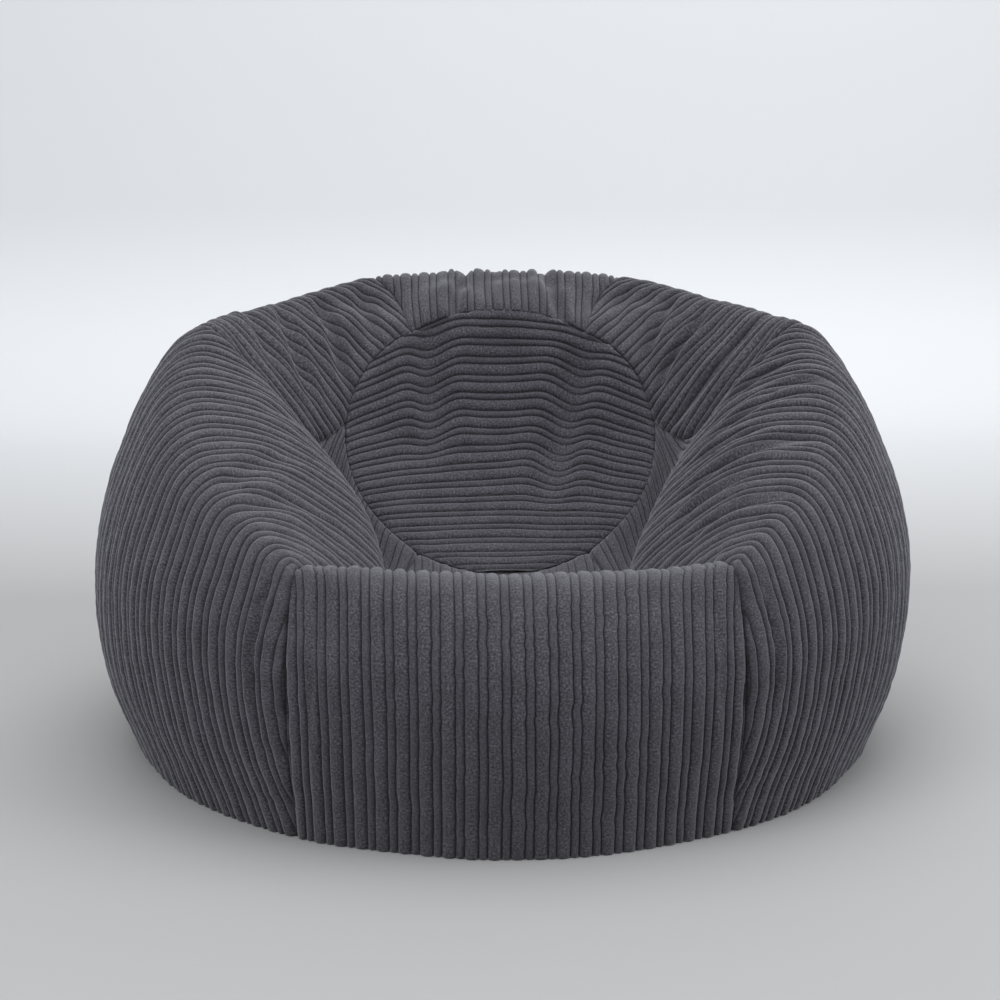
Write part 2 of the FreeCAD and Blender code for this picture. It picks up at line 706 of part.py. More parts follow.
# ---------------------------------------------------------------------------------- export
NODES = PANEL_NAMES + ("cover_seat_panel",) + SEAM_NAMES + (
    "cover_seat_seam", "cover_base_front", "cover_base_back", "cover_base_seam",
    "cover_zip_tape_front", "cover_zip_tape_back", "cover_zip_coil_front",
    "cover_zip_coil_back", "cover_zip_stops", "cover_zip_slider", "cover_zip_pull",
    "cover_zip_end_tabs", "care_label", "liner_front_wall", "liner_back_wall",
    "liner_seat_panel", "liner_base_front", "liner_base_back", "liner_zip_tape_front",
    "liner_zip_tape_back", "liner_zip_coil_front", "liner_zip_coil_back", "liner_zip_stops",
    "liner_zip_slider", "bead_fill")

for item in doc.Objects:
    bad = [state for state in item.State if state in ("Invalid", "Error")]
    if bad:
        raise RuntimeError("%s is %s" % (item.Label, bad))

for node in NODES:
    item = doc.getObjectsByLabel(node)[0]
    shape = item.Shape
    if shape.isNull() or not shape.isValid() or shape.Volume <= 0:
        raise RuntimeError("%s has no sound solid" % node)
    box = shape.BoundBox
    print("%-26s solids %d  volume %10.1f  x %.1f..%.1f  y %.1f..%.1f  z %.2f..%.2f" % (
        node, len(shape.Solids), shape.Volume, box.XMin, box.XMax, box.YMin, box.YMax,
        box.ZMin, box.ZMax))
    shape.exportStep("parts/%s.step" % node)
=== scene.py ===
import json
import math

import bpy
import numpy as np
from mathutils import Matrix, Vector


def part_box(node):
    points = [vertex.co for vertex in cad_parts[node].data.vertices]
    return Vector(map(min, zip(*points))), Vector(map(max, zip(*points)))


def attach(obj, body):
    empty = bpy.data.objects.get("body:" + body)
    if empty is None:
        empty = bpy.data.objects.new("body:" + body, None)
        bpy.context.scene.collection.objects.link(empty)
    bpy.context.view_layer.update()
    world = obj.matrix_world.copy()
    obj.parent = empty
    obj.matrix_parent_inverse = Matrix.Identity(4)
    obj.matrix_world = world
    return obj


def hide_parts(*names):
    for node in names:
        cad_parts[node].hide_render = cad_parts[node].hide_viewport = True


# Looks of the bean bag chair: a wide-rib corduroy cover sewn from six side panels and a
# pushed-in seat panel. Metres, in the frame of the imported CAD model.

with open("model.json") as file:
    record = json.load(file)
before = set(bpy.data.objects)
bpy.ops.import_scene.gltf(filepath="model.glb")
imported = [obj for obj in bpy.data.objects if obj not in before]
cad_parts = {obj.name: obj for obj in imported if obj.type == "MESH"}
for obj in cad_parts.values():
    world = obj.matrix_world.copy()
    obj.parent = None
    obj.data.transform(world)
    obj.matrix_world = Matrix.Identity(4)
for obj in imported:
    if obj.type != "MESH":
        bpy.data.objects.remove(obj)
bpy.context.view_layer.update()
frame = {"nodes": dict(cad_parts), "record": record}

# ---- shape of the bag
# Seven stations run round half of the bag: even ones on the middle of a panel, odd ones on a
# seam. Wall rings: share of the panel's length, azimuth of the front and of the back seam,
# radius and height at each station, in millimetres.
STATION_STEP = 30.0
WALL_RINGS = (
    (0.00, 31.5, 150.0, (457, 457, 457, 457, 457, 457, 457), (3, 3, 3, 3, 3, 3, 3)),
    (0.08, 31.0, 150.0, (466, 470, 476, 478, 474, 471, 470), (45, 45, 45, 45, 45, 45, 45)),
    (0.17, 30.3, 150.0, (480, 486, 493, 495, 490, 485, 482),
     (100, 100, 100, 100, 100, 100, 100)),
    (0.30, 29.7, 149.0, (485, 494, 502, 503, 496, 488, 485),
     (180, 185, 200, 215, 222, 228, 230)),
    (0.46, 30.5, 147.0, (455, 474, 480, 470, 452, 442, 436),
     (262, 262, 310, 361, 388, 416, 428)),
    (0.66, 31.5, 144.0, (385, 434, 402, 363, 322, 290, 248),
     (296, 305, 414, 515, 526, 549, 556)),
)
# Well rings: share of the panel's length and a point at each station.
WELL_RINGS = (
    (0.78, ((0, -318, 262), (198, -302, 264), (256, -150, 374), (300, 6, 440),
            (240, 152, 493), (150, 206, 538), (0, 224, 546))),
    (0.86, ((0, -240, 215), (154, -215, 222), (184, -98, 290), (262, 12, 378),
            (214, 146, 472), (134, 192, 522), (0, 208, 536))),
    (0.93, ((0, -150, 190), (134, -120, 198), (190, -32, 240), (232, 40, 352),
            (192, 134, 452), (124, 172, 500), (0, 190, 522))),
    (1.00, ((0, -50, 203), (106, -30, 225), (179, 17, 290), (200, 80, 370),
            (172, 118, 436), (115, 148, 478), (0, 170, 505))),
)
SEAT_MIDDLE = np.array((0.0, 0.060, 0.352))
SEAT_INWARD = np.array((0.0, 0.81, -0.586)) / math.hypot(0.81, 0.586)
SEAT_UPWARD = np.array((0.0, 0.586, 0.81)) / math.hypot(0.81, 0.586)
SEAT_DISH = 0.057
SHARES = np.array([ring[0] for ring in WALL_RINGS] + [ring[0] for ring in WELL_RINGS])


def station_profile(index):
    """Points of one of the twelve station curves, from the hem to the seat seam."""
    side = 1.0 if index <= 6 else -1.0
    half = index if index <= 6 else 12 - index
    points = []
    for _, front_azimuth, back_azimuth, radii, heights in WALL_RINGS:
        azimuth = {1: front_azimuth, 5: back_azimuth}.get(half, half * STATION_STEP)
        angle = math.radians(azimuth)
        points.append((side * radii[half] * math.sin(angle),
                       -radii[half] * math.cos(angle), heights[half]))
    for _, ring in WELL_RINGS:
        x, y, z = ring[half]
        points.append((side * x, y, z))
    return np.array(points) / 1000.0


def profile_slopes(points):
    """Slopes of a smooth curve through the rings."""
    span = np.diff(SHARES)[:, None]
    steps = np.diff(points, axis=0) / span
    weight = span[:-1] / (span[:-1] + span[1:])
    middle = steps[:-1] * (1.0 - weight) + steps[1:] * weight
    return np.vstack([steps[:1], middle, steps[-1:]])


PROFILES = [station_profile(index) for index in range(12)]
SLOPES = [profile_slopes(points) for points in PROFILES]


def interpolated(at, marks, points):
    """Points of a curve at places between its marks."""
    return np.stack([np.interp(at, marks, points[:, n]) for n in range(3)], -1)


def running_length(points):
    """Length of a curve up to each of its points."""
    return np.concatenate([[0.0], np.cumsum(np.linalg.norm(np.diff(points, axis=0), axis=1))])


def on_frame_curve(index, share):
    """Points on one station curve of the CAD model, for an array of shares."""
    points, slope = PROFILES[index % 12], SLOPES[index % 12]
    k = np.clip(np.searchsorted(SHARES, share, side="right") - 1, 0, len(SHARES) - 2)
    span = (SHARES[k + 1] - SHARES[k])[:, None]
    f = ((share - SHARES[k]))[:, None] / span
    return (points[k] * (2 * f ** 3 - 3 * f ** 2 + 1) + points[k + 1] * (3 * f ** 2 - 2 * f ** 3)
            + slope[k] * (span * (f ** 3 - 2 * f ** 2 + f))
            + slope[k + 1] * (span * (f ** 3 - f ** 2)))


ROUNDING = 0.013                # the beads round every crest off over about this length
ARC_STEP = 0.001
FINE_SHARES = np.linspace(0.0, 1.0, 1601)


def rounded_curve(index):
    """One station curve with its crests rounded; both of its ends stay where they are."""
    points = on_frame_curve(index, FINE_SHARES)
    run = running_length(points)
    marks = np.linspace(0.0, run[-1], int(run[-1] / ARC_STEP))
    even = interpolated(marks, run, points)
    reach = int(3 * ROUNDING / ARC_STEP)
    kernel = np.exp(-0.5 * (np.arange(-reach, reach + 1) * ARC_STEP / ROUNDING) ** 2)
    kernel /= kernel.sum()
    before = 2 * even[0] - even[reach:0:-1]
    after = 2 * even[-1] - even[-2:-reach - 2:-1]
    padded = np.concatenate([before, even, after])
    soft = np.stack([np.convolve(padded[:, n], kernel, "valid") for n in range(3)], -1)
    return interpolated(run, marks, soft)


CURVES = [rounded_curve(index) for index in range(12)]
TRAVELS = [np.gradient(curve, FINE_SHARES, axis=0) for curve in CURVES]


def on_station(index, share):
    """Points and directions of travel on one rounded station curve, for an array of shares."""
    curve, travel = CURVES[index % 12], TRAVELS[index % 12]
    return interpolated(share, FINE_SHARES, curve), interpolated(share, FINE_SHARES, travel)


def unit(vectors):
    return vectors / np.maximum(np.linalg.norm(vectors, axis=-1, keepdims=True), 1e-12)


def station_outward(index, share):
    around = on_station(index + 1, share)[0] - on_station(index - 1, share)[0]
    return unit(np.cross(around, on_station(index, share)[1]))


def three(values, across):
    """Quadratic through three stations; across is rows by columns, from -1 to 1."""
    before, middle, after = [value[:, None, :] for value in values]
    u = across[:, :, None]
    return before * (u * u - u) / 2 + middle * (1 - u * u) + after * (u * u + u) / 2


def panel_surface(panel, across, share):
    """Points and outward directions of a side panel; share has one value for each row."""
    indices = (2 * panel - 1, 2 * panel, 2 * panel + 1)
    where = three([on_station(index, share)[0] for index in indices], across)
    outward = three([station_outward(index, share) for index in indices], across)
    return where, unit(outward)


RING_ANGLES = np.linspace(-180.0, 180.0, 1441)


def seat_edge():
    """The seat seam: points and outward directions at RING_ANGLES."""
    places, outwards = [], []
    for angle in RING_ANGLES:
        panel, rest = divmod((angle + 30.0) % 360.0, 60.0)
        where, outward = panel_surface(int(panel), np.array([[rest / 30.0 - 1.0]]),
                                       np.array([1.0]))
        places.append(where[0, 0])
        outwards.append(outward[0, 0])
    return np.array(places), np.array(outwards)


EDGE_POINTS, EDGE_OUTWARD = seat_edge()


# ---- noise
CELLS = 128


def lattice(seed):
    return np.random.default_rng(seed).uniform(-1.0, 1.0, (CELLS, CELLS))


LATTICES = [lattice(seed) for seed in range(32)]


def noise(x, y, seed):
    """Smooth noise between -1 and 1; x and y are in cells."""
    table = LATTICES[seed % len(LATTICES)]
    i, j = np.floor(x).astype(int), np.floor(y).astype(int)
    f, g = x - i, y - j
    f, g = f * f * (3 - 2 * f), g * g * (3 - 2 * g)
    a = table[i % CELLS, j % CELLS] * (1 - f) + table[(i + 1) % CELLS, j % CELLS] * f
    b = table[i % CELLS, (j + 1) % CELLS] * (1 - f) + table[(i + 1) % CELLS, (j + 1) % CELLS] * f
    return a * (1 - g) + b * g


def smooth_step(x):
    x = np.clip(x, 0.0, 1.0)
    return x * x * (3 - 2 * x)


# ---- corduroy ribs
RIB_PITCH = 0.0244              # one thick and one thin rib
THICK_HALF = 0.0070
THIN_HALF = 0.0041
THICK_HEIGHT = 0.0044
THIN_HEIGHT = 0.0034
THICK_STATIONS = (0.0, 0.45, 0.75, 0.91)
THIN_STATIONS = (0.0, 0.5, 0.86)


def rib_lines(low, high):
    """Positions across the ribs where the mesh has a line, closer together in the grooves."""
    places = []
    thin_middle = RIB_PITCH / 2.0
    for k in range(int(math.floor(low / RIB_PITCH)) - 1, int(math.ceil(high / RIB_PITCH)) + 2):
        start = k * RIB_PITCH
        for part in THICK_STATIONS:
            places += [start - part * THICK_HALF, start + part * THICK_HALF]
        for part in THIN_STATIONS:
            places += [start + thin_middle - part * THIN_HALF,
                       start + thin_middle + part * THIN_HALF]
        groove = (THICK_HALF + thin_middle - THIN_HALF) / 2.0
        places += [start + groove, start - groove]
    places = np.unique(np.round(places, 6))
    return places[(places > low) & (places < high)]


def rib_shape(x, along, seed):
    """Height above the groove, part of the full height, and 1 on a thick rib else 0."""
    cell = np.floor(x / RIB_PITCH + 0.5)
    thick = x - cell * RIB_PITCH
    side = np.where(thick < 0, -1.0, 1.0)
    thin = np.abs(thick) - RIB_PITCH / 2.0
    swell = 1.0 + 0.10 * noise(cell * 7.31, along / 0.030, seed)
    tufts = 1.0 + 0.13 * noise(x / 0.0045, along / 0.0065, seed + 1)
    slim_cell = cell + 0.5 * side
    fat_half = THICK_HALF * (1.0 + 0.05 * noise(cell * 3.7, along / 0.022, seed + 2))
    slim_half = THIN_HALF * (1.0 + 0.06 * noise(slim_cell * 5.3, along / 0.022, seed + 3))
    fat = 1.0 - np.clip(np.abs(thick) / fat_half, 0, 1) ** 2.2
    slim = 1.0 - np.clip(np.abs(thin) / slim_half, 0, 1) ** 2.2
    fat, slim = np.clip(fat, 0, 1) ** 0.55, np.clip(slim, 0, 1) ** 0.55
    slim_swell = 1.0 + 0.12 * noise(slim_cell * 9.1, along / 0.028, seed + 4)
    height = np.maximum(fat * THICK_HEIGHT * swell * tufts, slim * THIN_HEIGHT * slim_swell)
    return height, np.maximum(fat, slim), (fat > slim).astype(float)


# ---- settling of cloth
COARSE_ACROSS = 16
COARSE_ROWS = 56
COARSE_REACHES = 9
COARSE_SHARES = np.linspace(0.0, 1.0, COARSE_ROWS + 1)
COARSE_PLACES = np.tile(np.linspace(-1.0, 1.0, COARSE_ACROSS + 1), (COARSE_ROWS + 1, 1))
SETTLE_FRAMES = 22
SETTLE_SWELL = 0.006            # furthest that a point may move out
SETTLE_SINK = 0.003             # furthest that it may move in
SETTLE_SLIDE = 0.0012           # furthest that it may slide along the surface
SETTLE_EASINGS = 4              # passes that even out the swell from ring to ring


def coarse_cover():
    """Welded coarse mesh of the whole cover: rows from the hem to the seat's middle."""
    rows = []
    for panel in range(6):
        where, _ = panel_surface(panel, COARSE_PLACES, COARSE_SHARES)
        rows.append(where[:, :-1])
    wall = np.concatenate(rows, axis=1)
    rings = list(wall)
    for k in range(COARSE_REACHES - 1, 0, -1):
        reach = k / COARSE_REACHES
        dish = SEAT_INWARD * (SEAT_DISH * (1.0 - reach * reach))
        rings.append(SEAT_MIDDLE + (wall[-1] - SEAT_MIDDLE) * reach + dish)
    middle = SEAT_MIDDLE + SEAT_INWARD * SEAT_DISH
    return np.concatenate(rings + [middle[None, :]])


def coarse_outward():
    """Outward direction at every vertex of the coarse cover."""
    wall = np.concatenate([panel_surface(panel, COARSE_PLACES, COARSE_SHARES)[1][:, :-1]
                           for panel in range(6)], axis=1).reshape(-1, 3)
    seat_count = 6 * COARSE_ACROSS * (COARSE_REACHES - 1) + 1
    return np.concatenate([wall, np.repeat(-SEAT_INWARD[None, :], seat_count, axis=0)])


def settle_cover():
    """Let the coarse cover swell and crumple as cloth; return how far each vertex moved."""
    points = coarse_cover()
    columns = 6 * COARSE_ACROSS
    ring_count = (len(points) - 1) // columns
    faces = []
    for j in range(ring_count - 1):
        for i in range(columns):
            n = (i + 1) % columns
            faces.append((j * columns + i, j * columns + n, (j + 1) * columns + n,
                          (j + 1) * columns + i))
    last = (ring_count - 1) * columns
    faces += [(last + i, last + (i + 1) % columns, len(points) - 1) for i in range(columns)]
    generator = np.random.default_rng(11)
    start = points + generator.normal(0.0, 0.0006, points.shape)
    piece = mesh_piece("settling_cover", start, faces)
    hold = piece.vertex_groups.new(name="hold")
    gather = piece.vertex_groups.new(name="gather")
    for j in range(ring_count):
        share = min(j / COARSE_ROWS, 1.0)
        for i in range(columns):
            to_seam = min(i % COARSE_ACROSS, COARSE_ACROSS - i % COARSE_ACROSS)
            in_well = smooth_step((share - 0.52) / 0.34)
            slack = 0.62 - 0.50 * in_well
            if to_seam == 0 and share < 1.0 or j == COARSE_ROWS:
                slack = 1.0
            number = j * columns + i
            gather.add([number], float(slack), "REPLACE")
            hold.add([number], 1.0 if j < 2 else (0.10 if in_well > 0.5 else 0.16), "REPLACE")
    gather.add([len(points) - 1], 0.4, "REPLACE")
    hold.add([len(points) - 1], 0.2, "REPLACE")
    cloth = piece.modifiers.new("cloth", "CLOTH")
    settings = cloth.settings
    settings.quality = 6
    settings.mass = 0.3
    settings.tension_stiffness = 25.0
    settings.compression_stiffness = 25.0
    settings.shear_stiffness = 12.0
    settings.bending_stiffness = 1.6
    settings.vertex_group_mass = "hold"
    settings.pin_stiffness = 1.0
    settings.use_pressure = True
    settings.uniform_pressure_force = 2.5
    settings.vertex_group_shrink = "gather"
    settings.shrink_min = -0.10
    settings.shrink_max = 0.035
    settings.effector_weights.gravity = 0.0
    cloth.collision_settings.use_collision = False
    cloth.point_cache.frame_start = 1
    cloth.point_cache.frame_end = SETTLE_FRAMES
    scene = bpy.context.scene
    for step in range(1, SETTLE_FRAMES + 1):
        scene.frame_set(step)
    settled = piece.evaluated_get(bpy.context.evaluated_depsgraph_get())
    result = np.empty(len(points) * 3, dtype=np.float32)
    settled.data.vertices.foreach_get("co", result)
    scene.frame_set(1)
    bpy.data.objects.remove(piece, do_unlink=True)
    move = result.reshape(-1, 3).astype(float) - points
    outward = coarse_outward()
    swell = np.sum(move * outward, axis=1, keepdims=True)
    slide = move - outward * swell
    swell = swell - swell.mean()
    limit = np.where(swell < 0, SETTLE_SINK, SETTLE_SWELL)
    swell = limit * np.tanh(swell / limit)
    rings = swell[:-1].reshape(ring_count, columns)
    for _ in range(SETTLE_EASINGS):
        between = (rings[:-2] + 2 * rings[1:-1] + rings[2:]) / 4
        rings = np.vstack([rings[:1], between, rings[-1:]])
    swell = np.vstack([rings.reshape(-1, 1), swell[-1:]])
    return (outward * swell
            + slide * np.minimum(1.0, SETTLE_SLIDE / np.maximum(
                np.linalg.norm(slide, axis=1, keepdims=True), 1e-9)))


def cubic_pick(place, axis_size, wrap=False):
    """Indices and weights of four neighbours for a smooth curve through samples."""
    base = np.floor(place).astype(int)
    f = place - base
    indices = []
    for offset in (-1, 0, 1, 2):
        index = base + offset
        indices.append(index % axis_size if wrap else np.clip(index, 0, axis_size - 1))
    weights = (0.5 * (-f + 2 * f ** 2 - f ** 3), 0.5 * (2 - 5 * f ** 2 + 3 * f ** 3),
               0.5 * (f + 4 * f ** 2 - 3 * f ** 3), 0.5 * (-f ** 2 + f ** 3))
    return indices, weights


def sampled(grid, row_place, column_place, wrap=False):
    """Smooth lookup in a grid of vectors."""
    row_index, row_weight = cubic_pick(row_place, grid.shape[0])
    column_index, column_weight = cubic_pick(column_place, grid.shape[1], wrap)
    total = 0.0
    for r, rw in zip(row_index, row_weight):
        for c, cw in zip(column_index, column_weight):
            total = total + grid[r, c] * (rw * cw)[..., None]
    return total


# ---- mesh helpers
def mesh_piece(name, points, faces, uv=None, attributes=None):
    """A mesh object from arrays, smooth shaded."""
    mesh = bpy.data.meshes.new(name)
    mesh.from_pydata(points.tolist(), [], faces)
    mesh.polygons.foreach_set("use_smooth", [True] * len(mesh.polygons))
    if uv is not None:
        layer = mesh.uv_layers.new(name="fabric")
        loops = np.empty(len(mesh.loops), dtype=np.int32)
        mesh.loops.foreach_get("vertex_index", loops)
        layer.data.foreach_set("uv", uv[loops].ravel())
    for key, values in (attributes or {}).items():
        layer = mesh.attributes.new(key, "FLOAT", "POINT")
        layer.data.foreach_set("value", values.astype(np.float32))
    mesh.update()
    piece = bpy.data.objects.new(name, mesh)
    bpy.context.scene.collection.objects.link(piece)
    return piece


def grid_faces(index):
    """Quads and triangles of a grid of vertex numbers in which neighbours may be merged."""
    a, b = index[:-1, :-1].ravel(), index[:-1, 1:].ravel()
    c, d = index[1:, 1:].ravel(), index[1:, :-1].ravel()
    faces = []
    for quad in zip(a.tolist(), b.tolist(), c.tolist(), d.tolist()):
        kept = [v for n, v in enumerate(quad) if v != quad[n - 1]]
        if len(kept) >= 3 and len(set(kept)) == len(kept):
            faces.append(tuple(kept))
    return faces


def arc_lengths(points):
    """Running length along the second axis of rows of points."""
    steps = np.linalg.norm(np.diff(points, axis=1), axis=2)
    return np.concatenate([np.zeros((len(points), 1)), np.cumsum(steps, axis=1)], axis=1)


COARSE_MOVES = settle_cover()
WALL_MOVES = COARSE_MOVES[:6 * COARSE_ACROSS * (COARSE_ROWS + 1)].reshape(
    COARSE_ROWS + 1, 6 * COARSE_ACROSS, 3)
SEAT_MOVES = np.concatenate([WALL_MOVES[-1:], COARSE_MOVES[WALL_MOVES.size // 3:-1].reshape(
    COARSE_REACHES - 1, 6 * COARSE_ACROSS, 3),
    np.repeat(COARSE_MOVES[None, -1:], 6 * COARSE_ACROSS, axis=1)])


def panel_move(panel, across, share):
    """How far the cloth moved at points of a side panel."""
    columns = (panel * COARSE_ACROSS + np.arange(COARSE_ACROSS + 1)) % (6 * COARSE_ACROSS)
    moves = sampled(WALL_MOVES[:, columns], np.broadcast_to(share[:, None], across.shape)
                    * COARSE_ROWS, (across + 1.0) / 2.0 * COARSE_ACROSS)
    return moves * smooth_step(share / 0.10)[:, None, None]


def seat_move(reach, ring):
    """How far the cloth moved at points of the seat panel."""
    column = ((ring + 30.0) % 360.0) / 360.0 * 6 * COARSE_ACROSS
    return sampled(SEAT_MOVES, (1.0 - reach) * COARSE_REACHES, column, True)


# ---- side panels
PANEL_NODES = ("cover_front_panel", "cover_front_right_panel", "cover_back_right_panel",
               "cover_back_panel", "cover_back_left_panel", "cover_front_left_panel")
ROW_STEP = 0.0034
SEAM_DIP = 0.0046               # depth of the valley along a seam, and its half width
SEAM_REACH = 0.0052
SEAT_SEAM_DIP = 0.0046
SEAT_SEAM_REACH = 0.0065
SEAM_POWER = 1.4                # how steeply the sides of a valley rise
RIB_FADE = 0.0018               # ribs end this far from a seam
RIB_SWAY = ((0.0008, 0.0002), (0.0012, 0.0013))     # sideways wobble: front panel, others
SKIRT = (0.005, 0.010)          # how far the turned-in edges reach below the seams
HEM_SKIRT = ((0.0025, 0.0004), (0.0090, 0.0034))    # inward reach and height of the hem
HEM_DROP = 0.0024               # the hem sags to the floor within this reach
HEM_REACH = 0.022
HEM_LOWEST = 0.0006
DEEPEST = 0.0105                # the cover never sinks further than this


def even_shares(panel):
    """Shares spaced evenly along the middle of a panel, and the lengths they stand at."""
    dense = np.linspace(0.0, 1.0, 1200)
    line, _ = panel_surface(panel, np.zeros((len(dense), 1)), dense)
    length = running_length(line[:, 0])
    count = int(round(length[-1] / ROW_STEP))
    marks = np.linspace(0.0, length[-1], count + 1)
    return np.interp(marks, length, dense), marks


FOLD_ROWS = 997                 # gives each depth of fold a row of noise of its own


def fold(x, along, start, end, depth, width):
    """A crease from start to end (x, along), with fabric pushed up on both sides of it."""
    p, q = np.array(start), np.array(end)
    run = np.linalg.norm(q - p)
    axis = (q - p) / run
    forward = (x - p[0]) * axis[0] + (along - p[1]) * axis[1]
    aside = (x - p[0]) * axis[1] - (along - p[1]) * axis[0]
    aside = aside + 0.25 * width * noise(forward / (2.5 * width), forward * 0 + depth * FOLD_ROWS, 3)
    ends = smooth_step(forward / (0.35 * run)) * smooth_step((run - forward) / (0.35 * run))
    r = aside / width
    return depth * ends * ((2.2 * r * r - 1.0) * np.exp(-1.1 * r * r))


def sunk(lift):
    """Limit how far the fabric sinks, so that it stays clear of the liner."""
    return np.where(lift < 0, DEEPEST * np.tanh(lift / DEEPEST), lift)


# Creases of each panel: start and end as (x, along), depth and width.
FOLDS = {
    0: (((-0.222, 0.10), (-0.216, 0.31), 0.0030, 0.007),
        ((0.224, 0.12), (0.215, 0.30), 0.0026, 0.007)),
    1: (((0.030, 0.665), (0.070, 0.45), 0.0065, 0.015),
        ((-0.050, 0.660), (-0.015, 0.41), 0.0055, 0.015),
        ((0.105, 0.640), (0.140, 0.47), 0.0075, 0.015),
        ((-0.140, 0.610), (-0.120, 0.40), 0.0045, 0.014),
        ((0.010, 0.620), (0.000, 0.50), 0.0035, 0.012),
        ((0.150, 0.600), (0.190, 0.48), 0.0060, 0.013),
        ((-0.090, 0.640), (-0.075, 0.50), 0.0040, 0.012),
        ((0.065, 0.560), (0.110, 0.40), 0.0045, 0.013),
        ((-0.225, 0.14), (-0.222, 0.42), 0.0040, 0.008)),
    2: (((-0.062, 0.735), (-0.015, 0.60), 0.0085, 0.012),
        ((-0.018, 0.740), (0.045, 0.59), 0.0070, 0.012),
        ((-0.128, 0.555), (-0.112, 0.735), 0.0065, 0.013),
        ((0.050, 0.735), (0.100, 0.61), 0.0045, 0.011)),
    3: (((0.034, 0.635), (0.066, 0.790), 0.0090, 0.0130),
        ((-0.056, 0.640), (-0.090, 0.790), 0.0080, 0.0130),
        ((0.000, 0.600), (0.004, 0.740), 0.0035, 0.010)),
    4: (((0.005, 0.585), (0.120, 0.690), 0.0080, 0.0160),
        ((-0.055, 0.595), (0.055, 0.745), 0.0090, 0.0170),
        ((-0.105, 0.610), (-0.025, 0.735), 0.0065, 0.0160),
        ((0.065, 0.575), (0.140, 0.650), 0.0045, 0.0150)),
    5: (((0.130, 0.410), (-0.005, 0.600), 0.0026, 0.020),
        ((0.185, 0.350), (0.085, 0.610), 0.0030, 0.020),
        ((-0.060, 0.520), (-0.120, 0.660), 0.0026, 0.018),
        ((0.226, 0.13), (0.222, 0.43), 0.0050, 0.008)),
}


# Fullness of the filling behind a panel: middle (x, along), half widths and height.
BULGES = {
    1: (((0.0, 0.300), (0.40, 0.150), 0.0095),
        ((-0.050, 0.650), (0.14, 0.085), 0.0040)),
    2: (((0.0, 0.300), (0.40, 0.150), 0.0085),),
    3: (((0.0, 0.300), (0.40, 0.150), 0.0040),),
    4: (((0.0, 0.300), (0.40, 0.150), 0.0085),),
    5: (((0.0, 0.300), (0.40, 0.150), 0.0095),
        ((0.050, 0.650), (0.15, 0.085), 0.0130)),
}


def fullness(panel, x, along):
    """Extra height of the panel over the filling."""
    total = 0.0 * x
    for middle, half_widths, height in BULGES.get(panel, ()):
        r = ((x - middle[0]) / half_widths[0]) ** 2 + ((along - middle[1]) / half_widths[1]) ** 2
        total = total + height * np.exp(-r)
    return total


def waviness(x, along, panel):
    """Soft unevenness of a cover that is filled with loose beads."""
    broad = 0.0030 * noise(x / 0.13 + 5 * panel, along / 0.15, 5 + panel)
    medium = 0.0012 * noise(x / 0.055 + 3 * panel, along / 0.07, 12 + panel)
    return broad + medium


def pucker(distance, along, seed):
    """Small gathers along a seam."""
    swell = noise(along / 0.022, along * 0 + seed * 1.7, seed)
    return 0.0016 * swell * np.exp(-distance / 0.022)


